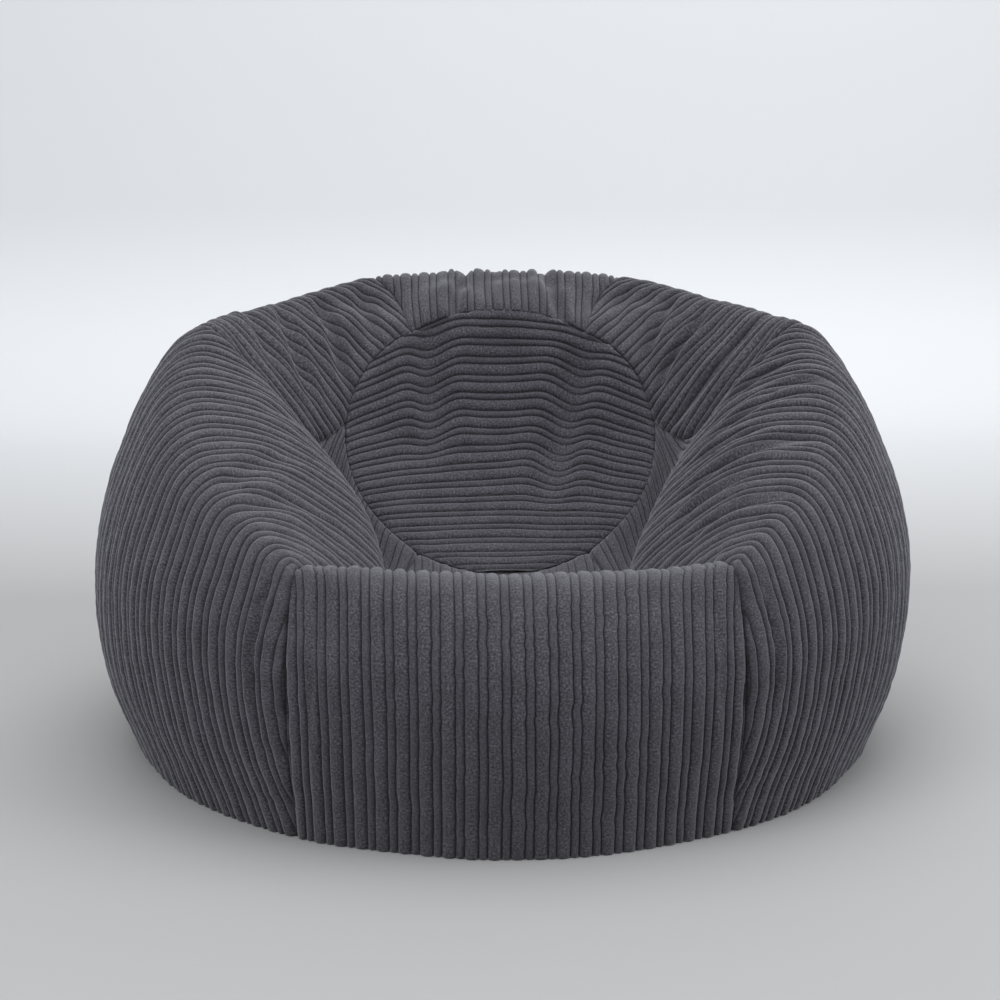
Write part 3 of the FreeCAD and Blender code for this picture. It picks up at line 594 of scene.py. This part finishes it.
def build_panel(panel):
    """One side panel with its ribs parallel to its middle line."""
    share, marks = even_shares(panel)
    fine = np.linspace(-1.0, 1.0, 121)
    rows = len(share)
    surface, _ = panel_surface(panel, np.repeat(fine[None, :], rows, axis=0), share)
    length = arc_lengths(surface)
    half = length[:, -1] / 2.0
    centre = length[:, 60]
    lines = rib_lines(-half.max() - 0.001, half.max() + 0.001)
    across = np.empty((rows, len(lines)))
    for j in range(rows):
        across[j] = np.interp(lines + centre[j], length[j], fine)
    left_reach, right_reach = centre, length[:, -1] - centre
    margin = 0.0006
    inside = ((lines[None, :] > -left_reach[:, None] + margin)
              & (lines[None, :] < right_reach[:, None] - margin))
    x = np.clip(np.repeat(lines[None, :], rows, axis=0), -left_reach[:, None],
                right_reach[:, None])
    along = np.repeat(marks[:, None], len(lines), axis=1)
    to_seam = np.minimum(x + left_reach[:, None], right_reach[:, None] - x)
    to_seat = marks[-1] - along

    where, outward = panel_surface(panel, across, share)
    slow, quick = RIB_SWAY[0 if panel == 0 else 1]
    sway = slow * noise(x / 0.09, along / 0.11, 18 + panel)
    sway = sway + quick * noise(x / 0.05, along / 0.036, 24) * smooth_step((along - 0.2) / 0.3)
    sway = sway * np.clip(to_seam / 0.03, 0, 1)
    pinched = 0.0012 * noise(along / 0.019, along * 0, 26) * np.exp(-to_seam / 0.020)
    sway = sway + pinched * smooth_step(to_seam / 0.006)
    sideways = unit(np.gradient(where, axis=1))
    height, part, kind = rib_shape(x, along, 1 + panel)
    fade = smooth_step(to_seam / RIB_FADE) * smooth_step(to_seat / RIB_FADE)
    lift = (height - 0.0026) * fade
    lift = lift - SEAM_DIP * np.exp(-(to_seam / SEAM_REACH) ** SEAM_POWER)
    lift = lift - SEAT_SEAM_DIP * np.exp(-(to_seat / SEAT_SEAM_REACH) ** SEAM_POWER)
    for start, end, depth, width in FOLDS.get(panel, ()):
        lift = lift + fold(x, along, start, end, depth, width)
    lift = lift + waviness(x, along, panel) * np.clip(to_seam / 0.05, 0, 1)
    seam_side = np.where(x < 0, panel, (panel + 1) % 6).astype(float)
    lift = sunk(lift + pucker(to_seam, along + 0.37 * seam_side, 9))
    lift = lift + fullness(panel, x, along)
    points = where + outward * lift[..., None] + sideways * sway[..., None]
    points = points + panel_move(panel, across, share)
    drop = HEM_DROP * np.clip(1.0 - along / HEM_REACH, 0, 1)
    points[..., 2] = np.maximum(points[..., 2] - drop, HEM_LOWEST)

    index = np.full((rows, len(lines) + 6), -1, dtype=np.int64)
    out, uv, tops, kinds = [], [], [], []
    count = 0
    for j in range(rows):
        first = int(np.argmax(inside[j]))
        last = len(lines) - 1 - int(np.argmax(inside[j][::-1]))
        edge, edge_out = panel_surface(panel, np.array([[-1.0, 1.0]]), share[j:j + 1])
        near_seat = ((marks[-1] - marks[j]) / SEAT_SEAM_REACH) ** SEAM_POWER
        dip = SEAM_DIP + SEAT_SEAM_DIP * math.exp(-near_seat)
        ends = edge[0] - edge_out[0] * dip
        ends = ends + panel_move(panel, np.array([[-1.0, 1.0]]), share[j:j + 1])[0]
        drop = HEM_DROP * max(0.0, 1.0 - marks[j] / HEM_REACH)
        ends[:, 2] = np.maximum(ends[:, 2] - drop, HEM_LOWEST)
        skirt = [ends - edge_out[0] * depth for depth in SKIRT]
        inner = points[j, first:last + 1]
        row = np.vstack([skirt[1][0], skirt[0][0], ends[0], inner, ends[1], skirt[0][1],
                         skirt[1][1]])
        width = len(inner)
        row_x = np.concatenate([[-left_reach[j]] * 3, x[j, first:last + 1],
                                [right_reach[j]] * 3])
        out.append(row)
        uv.append(np.column_stack([row_x, np.full(len(row), marks[j])]))
        zero = np.zeros(3)
        tops.append(np.concatenate([zero, (part * fade)[j, first:last + 1], zero]))
        kinds.append(np.concatenate([zero, kind[j, first:last + 1], zero]))
        index[j, 0:3] = count + np.arange(3)
        index[j, 3:3 + first] = count + 2
        index[j, 3 + first:3 + last + 1] = count + 3 + np.arange(width)
        index[j, 3 + last + 1:len(lines) + 3] = count + 3 + width
        index[j, len(lines) + 3:] = count + 3 + width + np.arange(3)
        count += len(row)
    # the hem turns in under the bag, and the other end turns in below the seat seam
    hem_row, last_row = index[0], index[-1]
    blank = np.zeros(index.shape[1])
    for inward, height in HEM_SKIRT:
        extra = np.vstack(out)[hem_row]
        radius = np.linalg.norm(extra[:, :2], axis=1, keepdims=True)
        extra[:, :2] *= 1.0 - inward / radius
        extra[:, 2] = height
        out.append(extra)
        uv.append(np.column_stack([np.linspace(-half[0], half[0], len(extra)),
                                   blank - inward]))
        tops.append(blank)
        kinds.append(blank)
        index = np.vstack([count + np.arange(len(extra))[None, :], index])
        count += len(extra)
    _, end_out = panel_surface(panel, across[-1:], share[-1:])
    base_points = np.vstack(out)
    for depth in SKIRT:
        extra = base_points[last_row].copy()
        extra[3:-3] -= end_out[0] * depth
        extra[:3] -= end_out[0][0] * depth
        extra[-3:] -= end_out[0][-1] * depth
        out.append(extra)
        uv.append(np.column_stack([blank, blank + marks[-1]]))
        tops.append(blank)
        kinds.append(blank)
        index = np.vstack([index, count + np.arange(len(extra))[None, :]])
        count += len(extra)
    return mesh_piece(PANEL_NODES[panel], np.vstack(out), grid_faces(index), np.vstack(uv),
                      {"pile": np.concatenate(tops), "thick": np.concatenate(kinds)})


# ---- seat panel
def seat_polar(a, b):
    """Reach and ring angle for points of the seat's plane, a to the right and b up."""
    rim = EDGE_POINTS - SEAT_MIDDLE
    rim_a, rim_b = rim[:, 0], rim @ SEAT_UPWARD
    rim_angle = np.unwrap(np.arctan2(rim_a, -rim_b))
    angle = np.arctan2(a, -b)
    ring = np.interp(angle, rim_angle, RING_ANGLES, period=2 * math.pi)
    radius = np.interp(ring, RING_ANGLES, np.hypot(rim_a, rim_b))
    return np.hypot(a, b) / radius, ring, radius


def on_seat(reach, ring):
    """Points of the seat panel."""
    edge = interpolated(ring, RING_ANGLES, EDGE_POINTS)
    dish = SEAT_DISH * (1.0 - reach ** 2)
    return (SEAT_MIDDLE + (edge - SEAT_MIDDLE) * reach[..., None]
            + SEAT_INWARD * dish[..., None])


def seat_rim(ring):
    """Points of the sewn edge of the seat panel, shared with the side panels."""
    edge = interpolated(ring, RING_ANGLES, EDGE_POINTS)
    out = interpolated(ring, RING_ANGLES, EDGE_OUTWARD)
    corner = np.radians(abs((ring % 60.0) - 30.0)) * 0.19
    dip = SEAT_SEAM_DIP + SEAM_DIP * math.exp(-(corner / SEAM_REACH) ** SEAM_POWER)
    move = seat_move(np.array([1.0]), np.array([ring]))[0]
    return edge - out * dip + move


SEAT_HALF = 0.215
SEAT_COLUMN = 0.0030            # step of the mesh along the ribs
SEAT_DROOP_LOW = 0.004
SEAT_DROOP_HIGH = 0.060
SEAT_RIB_HEIGHT = 0.82          # ribs of the sat-on seat against those of the sides
SEAT_KINK = 0.0065              # how far the ribs dip where they cross a fold
SEAT_FOLDS = (((-0.074, 0.205), (-0.104, -0.030), 0.0100, 0.034),
              ((0.125, 0.185), (0.052, -0.100), 0.0115, 0.036))


def build_seat():
    """The seat panel with its ribs from left to right."""
    rim = EDGE_POINTS - SEAT_MIDDLE
    rim_b = rim @ SEAT_UPWARD
    low, high = rim_b.min(), rim_b.max()
    dense = np.linspace(low, high, 600)
    reach, ring, _ = seat_polar(np.zeros_like(dense), dense)
    line = on_seat(reach, ring)
    run = running_length(line)
    marks = rib_lines(0.0008, run[-1] - 0.0008)
    height_b = np.interp(marks, run, dense)
    a_line = np.arange(-SEAT_HALF, SEAT_HALF + 0.0001, SEAT_COLUMN)
    a, b = np.meshgrid(a_line, height_b)
    droop = SEAT_DROOP_LOW + SEAT_DROOP_HIGH * np.sqrt(marks / run[-1])
    b = b - droop[:, None] * (a / 0.19) ** 2
    for start, end, depth, width in SEAT_FOLDS:
        b = b + SEAT_KINK / depth * fold(a, b, start, end, depth, width)
    b = b + 0.0022 * noise(a / 0.075, b / 0.060, 27) * smooth_step((0.16 - np.abs(a)) / 0.05)
    reach, ring, radius = seat_polar(a, b)
    inside = reach < 0.995
    along, x = np.repeat(marks[:, None], len(a_line), axis=1), a
    to_edge = np.clip(1.0 - reach, 0, 1) * radius
    where = on_seat(np.minimum(reach, 1.0), ring)
    tiny = 1e-4
    step_a = on_seat(*seat_polar(a + tiny, b)[:2]) - on_seat(*seat_polar(a - tiny, b)[:2])
    step_b = on_seat(*seat_polar(a, b + tiny)[:2]) - on_seat(*seat_polar(a, b - tiny)[:2])
    outward = unit(np.cross(step_a, step_b))
    outward = outward * np.sign(outward @ -SEAT_INWARD)[..., None]
    height, part, kind = rib_shape(along, x, 14)
    fade = smooth_step(to_edge / RIB_FADE)
    lift = (SEAT_RIB_HEIGHT * height - 0.0020) * fade
    lift = lift - SEAT_SEAM_DIP * np.exp(-(to_edge / SEAT_SEAM_REACH) ** SEAM_POWER)
    lift = lift + waviness(x, along, 3) * np.clip(to_edge / 0.05, 0, 1)
    for start, end, depth, width in SEAT_FOLDS:
        lift = lift + fold(a, b, start, end, depth, width)
    lift = sunk(lift)
    points = where + outward * lift[..., None] + seat_move(np.minimum(reach, 1.0), ring)
    out, uv, tops, kinds = [], [], [], []
    index = np.full((len(marks), len(a_line) + 4), -1, dtype=np.int64)
    count = 0
    kept_rows = []
    for j in range(len(marks)):
        if not inside[j].any():
            continue
        first = int(np.argmax(inside[j]))
        last = len(a_line) - 1 - int(np.argmax(inside[j][::-1]))
        ends = []
        for near, far in ((first, first - 1), (last, last + 1)):
            f = (1.0 - reach[j, near]) / (reach[j, far] - reach[j, near])
            a_edge = a[j, near] + f * (a[j, far] - a[j, near])
            b_edge = b[j, near] + f * (b[j, far] - b[j, near])
            _, edge_ring, _ = seat_polar(np.array([a_edge]), np.array([b_edge]))
            ends.append(seat_rim(float(edge_ring[0])))
        skirt = [end + SEAT_INWARD * SKIRT[1] for end in ends]
        inner = points[j, first:last + 1]
        width = len(inner)
        row = np.vstack([skirt[0], ends[0], inner, ends[1], skirt[1]])
        out.append(row)
        uv.append(np.column_stack([np.full(len(row), marks[j]),
                                   np.concatenate([[a_line[first]] * 2, a_line[first:last + 1],
                                                   [a_line[last]] * 2])]))
        tops.append(np.concatenate([[0, 0], (part * fade)[j, first:last + 1], [0, 0]]))
        kinds.append(np.concatenate([[0, 0], kind[j, first:last + 1], [0, 0]]))
        index[j, 0:2] = count + np.arange(2)
        index[j, 2:2 + first] = count + 1
        index[j, 2 + first:2 + last + 1] = count + 2 + np.arange(width)
        index[j, 2 + last + 1:len(a_line) + 2] = count + 2 + width
        index[j, len(a_line) + 2:] = count + 2 + width + np.arange(2)
        count += len(row)
        kept_rows.append(j)
    index = index[kept_rows]
    return mesh_piece("cover_seat_panel", np.vstack(out), grid_faces(index), np.vstack(uv),
                      {"pile": np.concatenate(tops), "thick": np.concatenate(kinds)})


# ---- seam allowances
SEAM_NODES = {1: "cover_seam_front_right", 3: "cover_seam_side_right",
              5: "cover_seam_back_right", 7: "cover_seam_back_left",
              9: "cover_seam_side_left", 11: "cover_seam_front_left"}
ALLOWANCE_HALF = 0.0022
ALLOWANCE_DEEP = 0.0125
ALLOWANCE_LOWEST = 0.006
ALLOWANCE_SHARES = np.linspace(0.004, 0.996, 150)


def four_rails(name, line, below, aside, tops, closed):
    """A folded strip of fabric below a line: its outer edge follows tops, a depth for each
    point of the line."""
    deep = np.full(len(line), ALLOWANCE_DEEP)
    rails = []
    for depth, side in ((tops, -1), (tops, 1), (deep, 1), (deep, -1)):
        rails.append(line + below * depth[:, None] + aside * (side * ALLOWANCE_HALF))
    points = np.stack(rails, axis=1).reshape(-1, 3)
    faces = []
    count = len(line)
    for j in range(count if closed else count - 1):
        k = (j + 1) % count
        for i in range(4):
            n = (i + 1) % 4
            faces.append((4 * j + i, 4 * j + n, 4 * k + n, 4 * k + i))
    if not closed:
        faces += [(3, 2, 1, 0), tuple(4 * (count - 1) + i for i in range(4))]
    return mesh_piece(name, points, faces)


def build_seam(station):
    """The turned-in allowances of one side seam."""
    line, _ = on_station(station, ALLOWANCE_SHARES)
    outward = station_outward(station, ALLOWANCE_SHARES)
    travel = unit(np.gradient(line, axis=0))
    run = running_length(line)
    tops = SEAM_DIP + 0.0010 + SEAT_SEAM_DIP * np.exp(
        -((run[-1] - run) / SEAT_SEAM_REACH) ** SEAM_POWER)
    panel = (station + 1) // 2 % 6
    move = panel_move(panel, np.full((len(line), 1), -1.0), ALLOWANCE_SHARES)[:, 0]
    line = line + move
    line[:, 2] = np.maximum(line[:, 2], ALLOWANCE_LOWEST)
    return four_rails(SEAM_NODES[station] + "_strip", line, -outward,
                      unit(np.cross(travel, outward)), tops, False)


def build_seat_seam():
    """The turned-in allowances round the seat panel."""
    rings = np.linspace(-180.0, 180.0, 361)[:-1]
    line = np.array([seat_rim(ring) for ring in rings])
    outward = interpolated(rings, RING_ANGLES, EDGE_OUTWARD)
    below = unit(SEAT_INWARD - outward)
    towards = unit(SEAT_MIDDLE - line)
    aside = unit(towards - below * np.sum(towards * below, axis=1, keepdims=True))
    return four_rails("cover_seat_seam_strip", line, below, aside,
                      np.full(len(line), 0.0010), True)


# ---- zip coils
COIL_PITCH = 0.0015
COIL_STEPS = 10
COIL_WIRE = 0.00038
COIL_SIDES = 6


def build_coil(node):
    """One row of a coil zip: a wound monofilament that fills the node's box."""
    low, high = [np.array(corner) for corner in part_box(node)]
    middle, half = (low + high) / 2.0, (high - low) / 2.0 - COIL_WIRE
    turns = int(2.0 * half[0] / COIL_PITCH)
    angle = 2.0 * math.pi * np.arange(turns * COIL_STEPS + 1) / COIL_STEPS
    line = np.column_stack([np.linspace(-half[0], half[0], len(angle)),
                            half[1] * np.cos(angle), half[2] * np.sin(angle)]) + middle
    travel = unit(np.gradient(line, axis=0))
    spoke = unit(np.column_stack([np.zeros(len(angle)), np.cos(angle), np.sin(angle)]))
    spoke = unit(spoke - travel * np.sum(spoke * travel, axis=1, keepdims=True))
    other = np.cross(travel, spoke)
    turn = 2.0 * math.pi * np.arange(COIL_SIDES) / COIL_SIDES
    rings = (line[:, None, :] + COIL_WIRE * (np.cos(turn)[None, :, None] * spoke[:, None, :]
                                             + np.sin(turn)[None, :, None] * other[:, None, :]))
    index = np.arange(len(line))[:, None] * COIL_SIDES + np.arange(COIL_SIDES + 1) % COIL_SIDES
    faces = grid_faces(index)
    last = (len(line) - 1) * COIL_SIDES
    faces += [tuple(reversed(range(COIL_SIDES))), tuple(last + n for n in range(COIL_SIDES))]
    return mesh_piece(node + "_wire", rings.reshape(-1, 3), faces)


# ---- materials
def node_material(name):
    material = bpy.data.materials.new(name)
    material.use_nodes = True
    tree = material.node_tree
    return material, tree, tree.nodes["Principled BSDF"]


def add_node(tree, kind, **inputs):
    node = tree.nodes.new(kind)
    for key, value in inputs.items():
        node.inputs[key.replace("_", " ")].default_value = value
    return node


def colour_ramp(tree, source, stops):
    ramp = tree.nodes.new("ShaderNodeValToRGB")
    tree.links.new(source, ramp.inputs["Fac"])
    elements = ramp.color_ramp.elements
    while len(elements) < len(stops):
        elements.new(0.5)
    for element, (place, value) in zip(elements, stops):
        element.position = place
        colour = value if isinstance(value, tuple) else (value,) * 3
        element.color = (*colour, 1.0)
    return ramp


def mixed(tree, factor, first, second, mode="MIX"):
    node = tree.nodes.new("ShaderNodeMix")
    node.data_type = "RGBA"
    node.blend_type = mode
    for socket, value in ((node.inputs[0], factor), (node.inputs[6], first),
                          (node.inputs[7], second)):
        if isinstance(value, bpy.types.NodeSocket):
            tree.links.new(value, socket)
        else:
            socket.default_value = value
    return node.outputs[2]


def finish_material(tree, shader, ramp, height, bump_look, roughness):
    """Colour, roughness and bump of a material; bump_look is its strength and distance."""
    tree.links.new(ramp.outputs["Color"], shader.inputs["Base Color"])
    shader.inputs["Roughness"].default_value = roughness
    bump = add_node(tree, "ShaderNodeBump", Strength=bump_look[0], Distance=bump_look[1])
    tree.links.new(height, bump.inputs["Height"])
    tree.links.new(bump.outputs["Normal"], shader.inputs["Normal"])


def corduroy_material():
    """Dark slate corduroy: woolly thick ribs, smoother thin ribs, and painted shade that darkens the
    grooves and the seams.
    """
    material, tree, shader = node_material("corduroy")
    place = tree.nodes.new("ShaderNodeUVMap")
    place.uv_map = "fabric"
    pile = tree.nodes.new("ShaderNodeAttribute")
    pile.attribute_name = "pile"
    thick = tree.nodes.new("ShaderNodeAttribute")
    thick.attribute_name = "thick"
    woolly = add_node(tree, "ShaderNodeTexNoise", Scale=420.0, Detail=4.0, Roughness=0.62)
    fine = add_node(tree, "ShaderNodeTexNoise", Scale=1500.0, Detail=2.0, Roughness=0.6)
    patches = add_node(tree, "ShaderNodeTexNoise", Scale=28.0, Detail=3.0, Roughness=0.5)
    for node in (woolly, fine, patches):
        tree.links.new(place.outputs["UV"], node.inputs["Vector"])

    thick_colour = colour_ramp(tree, woolly.outputs["Fac"], (
        (0.32, (0.025, 0.0242, 0.0288)), (0.50, (0.052, 0.0505, 0.0595)),
        (0.70, (0.122, 0.119, 0.135))))
    thin_colour = colour_ramp(tree, woolly.outputs["Fac"], (
        (0.34, (0.033, 0.0320, 0.0380)), (0.50, (0.054, 0.0525, 0.0618)),
        (0.68, (0.094, 0.0915, 0.1045))))
    rib_colour = mixed(tree, thick.outputs["Fac"], thin_colour.outputs["Color"],
                       thick_colour.outputs["Color"])
    # painted shade: the colour darkens with the pile attribute, down to 0.30 in the grooves between
    # ribs, in the seam valleys and on the turned-in edges
    depth = colour_ramp(tree, pile.outputs["Fac"], ((0.0, 0.30), (0.40, 0.72), (0.75, 1.0)))
    shaded = mixed(tree, 1.0, rib_colour, depth.outputs["Color"], "MULTIPLY")
    patch = colour_ramp(tree, patches.outputs["Fac"], ((0.3, 0.86), (0.7, 1.12)))
    final = mixed(tree, 1.0, shaded, patch.outputs["Color"], "MULTIPLY")
    tree.links.new(final, shader.inputs["Base Color"])
    shader.inputs["Roughness"].default_value = 0.95
    shader.inputs["Specular IOR Level"].default_value = 0.12
    shader.inputs["Sheen Weight"].default_value = 0.55
    shader.inputs["Sheen Roughness"].default_value = 0.45
    shader.inputs["Sheen Tint"].default_value = (0.55, 0.55, 0.60, 1.0)

    bump_soft = add_node(tree, "ShaderNodeBump", Strength=0.55, Distance=0.0016)
    tree.links.new(woolly.outputs["Fac"], bump_soft.inputs["Height"])
    bump_fine = add_node(tree, "ShaderNodeBump", Strength=0.35, Distance=0.0005)
    tree.links.new(fine.outputs["Fac"], bump_fine.inputs["Height"])
    tree.links.new(bump_soft.outputs["Normal"], bump_fine.inputs["Normal"])
    tree.links.new(bump_fine.outputs["Normal"], shader.inputs["Normal"])
    return material


def woven_material(name, colour, scale, roughness=0.85, depth=0.0002):
    """Plain weave cloth."""
    material, tree, shader = node_material(name)
    place = tree.nodes.new("ShaderNodeTexCoord")
    one = add_node(tree, "ShaderNodeTexWave", Scale=scale)
    two = add_node(tree, "ShaderNodeTexWave", Scale=scale)
    one.bands_direction, two.bands_direction = "X", "Y"
    grain = add_node(tree, "ShaderNodeTexNoise", Scale=scale * 3.0, Detail=3.0)
    for node in (one, two, grain):
        tree.links.new(place.outputs["Object"], node.inputs["Vector"])
    weave = mixed(tree, 0.5, one.outputs["Color"], two.outputs["Color"])
    weave = mixed(tree, 0.35, weave, grain.outputs["Color"])
    dark = tuple(0.62 * value for value in colour)
    light = tuple(min(1.0, 1.25 * value) for value in colour)
    ramp = colour_ramp(tree, weave, ((0.25, dark), (0.75, light)))
    finish_material(tree, shader, ramp, weave, (0.5, depth), roughness)
    return material


def hard_material(name, colour, roughness, metallic, scale):
    """Moulded plastic or lacquered metal with a fine mottle."""
    material, tree, shader = node_material(name)
    place = tree.nodes.new("ShaderNodeTexCoord")
    mottle = add_node(tree, "ShaderNodeTexNoise", Scale=scale, Detail=3.0)
    tree.links.new(place.outputs["Object"], mottle.inputs["Vector"])
    dark = tuple(0.8 * value for value in colour)
    light = tuple(min(1.0, 1.15 * value) for value in colour)
    ramp = colour_ramp(tree, mottle.outputs["Fac"], ((0.3, dark), (0.7, light)))
    finish_material(tree, shader, ramp, mottle.outputs["Fac"], (0.2, 0.0001), roughness)
    shader.inputs["Metallic"].default_value = metallic
    return material


# Cloths: colour and scale of the weave, and roughness where it isn't the usual one.
WOVEN = {
    "seam_allowance": ((0.045, 0.044, 0.052), 900.0),
    "base_cloth": ((0.040, 0.040, 0.047), 500.0),
    "zip_tape": ((0.030, 0.030, 0.034), 1200.0),
    "label_cloth": ((0.80, 0.80, 0.78), 2500.0, 0.5),
    "liner_cloth": ((0.72, 0.72, 0.70), 700.0),
    "liner_zip_tape": ((0.75, 0.75, 0.73), 1200.0),
}
# Hard materials: colour, roughness, metallic and scale of the mottle.
HARD = {
    "zip_coil": ((0.025, 0.025, 0.028), 0.35, 0.0, 900.0),
    "zip_metal": ((0.040, 0.040, 0.045), 0.3, 0.8, 700.0),
    "liner_zip_coil": ((0.80, 0.80, 0.78), 0.35, 0.0, 900.0),
    "liner_zip_metal": ((0.70, 0.70, 0.70), 0.3, 0.0, 700.0),
    "polystyrene_beads": ((0.88, 0.88, 0.87), 0.7, 0.0, 260.0),
}
MATERIALS = {"corduroy": corduroy_material()}
MATERIALS.update((name, woven_material(name, *look)) for name, look in WOVEN.items())
MATERIALS.update((name, hard_material(name, *look)) for name, look in HARD.items())


def paint(piece, slot):
    piece.data.materials.clear()
    piece.data.materials.append(MATERIALS[slot])


def stand_in(piece, node, slot):
    """Paint a piece and let it take the place of one of the bag's CAD nodes."""
    paint(piece, slot)
    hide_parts(node)
    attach(piece, "bag")


SLOT_OF = {row["node"]: row["material_slot"] for row in frame["record"]["subparts"]}
for node_name, node_object in frame["nodes"].items():
    paint(node_object, SLOT_OF[node_name])

# ---- the cover
for panel_index, node_name in enumerate(PANEL_NODES):
    made = build_panel(panel_index)
    made.name = node_name + "_cloth"
    stand_in(made, node_name, "corduroy")
seat = build_seat()
seat.name = "cover_seat_panel_cloth"
stand_in(seat, "cover_seat_panel", "corduroy")

for station, node_name in SEAM_NODES.items():
    stand_in(build_seam(station), node_name, "seam_allowance")
stand_in(build_seat_seam(), "cover_seat_seam", "seam_allowance")

for zip_name, coil_slot in (("cover_zip", "zip_coil"), ("liner_zip", "liner_zip_coil")):
    for end in ("front", "back"):
        coil_node = "%s_coil_%s" % (zip_name, end)
        stand_in(build_coil(coil_node), coil_node, coil_slot)

# ---- floor, light, camera
def make_floor():
    """Pale floor that curves up into a pale wall behind the object."""
    profile = [(-6.0, 0.0), (1.9, 0.0)]
    for step in range(1, 13):
        angle = math.pi / 2 * step / 12
        profile.append((1.9 + 0.5 * math.sin(angle), 0.5 - 0.5 * math.cos(angle)))
    profile.append((2.4, 5.0))
    points, faces = [], []
    for y, z in profile:
        points += [(-8.0, y, z), (8.0, y, z)]
    for k in range(len(profile) - 1):
        faces.append((2 * k, 2 * k + 1, 2 * k + 3, 2 * k + 2))
    floor = mesh_piece("floor", np.array(points), faces)
    material, tree, shader = node_material("floor")
    place = tree.nodes.new("ShaderNodeTexCoord")
    parts = tree.nodes.new("ShaderNodeSeparateXYZ")
    tree.links.new(place.outputs["Object"], parts.inputs["Vector"])
    reach = tree.nodes.new("ShaderNodeMapRange")
    reach.inputs["From Min"].default_value = 0.6
    reach.inputs["From Max"].default_value = 2.3
    tree.links.new(parts.outputs["Y"], reach.inputs["Value"])
    tone = colour_ramp(tree, reach.outputs["Result"], (
        (0.0, (0.33, 0.33, 0.335)), (1.0, (0.66, 0.675, 0.69))))
    tree.links.new(tone.outputs["Color"], shader.inputs["Base Color"])
    shader.inputs["Roughness"].default_value = 0.9
    floor.data.materials.append(material)
    return floor


def area_light(name, place, aim, size, power, colour=(1.0, 1.0, 1.0)):
    data = bpy.data.lights.new(name, "AREA")
    data.size = size
    data.energy = power
    data.color = colour
    light = bpy.data.objects.new(name, data)
    light.location = place
    light.rotation_euler = (Vector(aim) - Vector(place)).to_track_quat("-Z", "Y").to_euler()
    bpy.context.scene.collection.objects.link(light)
    return light


make_floor()
area_light("key_light", (-1.6, -2.2, 2.6), (0.0, 0.0, 0.2), 2.4, 56.0)
area_light("top_light", (0.2, 0.0, 4.2), (0.0, 0.0, 0.2), 4.0, 126.0)
area_light("back_light", (0.9, 1.9, 2.3), (0.0, 0.0, 0.25), 1.6, 11.0)
area_light("right_light", (2.8, -1.0, 1.9), (0.0, 0.0, 0.3), 2.0, 44.0)
world = bpy.data.worlds.new("world")
bpy.context.scene.world = world
world.use_nodes = True
background = world.node_tree.nodes["Background"]
background.inputs["Color"].default_value = (0.95, 0.97, 1.0, 1.0)
background.inputs["Strength"].default_value = 0.56
bpy.context.scene.view_settings.view_transform = "Standard"

CAMERA_PLACE = (-0.0833, -2.2985, 0.80)
CAMERA_TILT = 77.43
CAMERA_TURN = -2.0
CAMERA_LENS = 67.32
camera_data = bpy.data.cameras.new("camera")
camera_data.lens = CAMERA_LENS
camera_data.sensor_width = 36.0
camera = bpy.data.objects.new("camera", camera_data)
camera.location = CAMERA_PLACE
camera.rotation_euler = (math.radians(CAMERA_TILT), 0.0, math.radians(CAMERA_TURN))
bpy.context.scene.collection.objects.link(camera)
bpy.context.scene.camera = camera
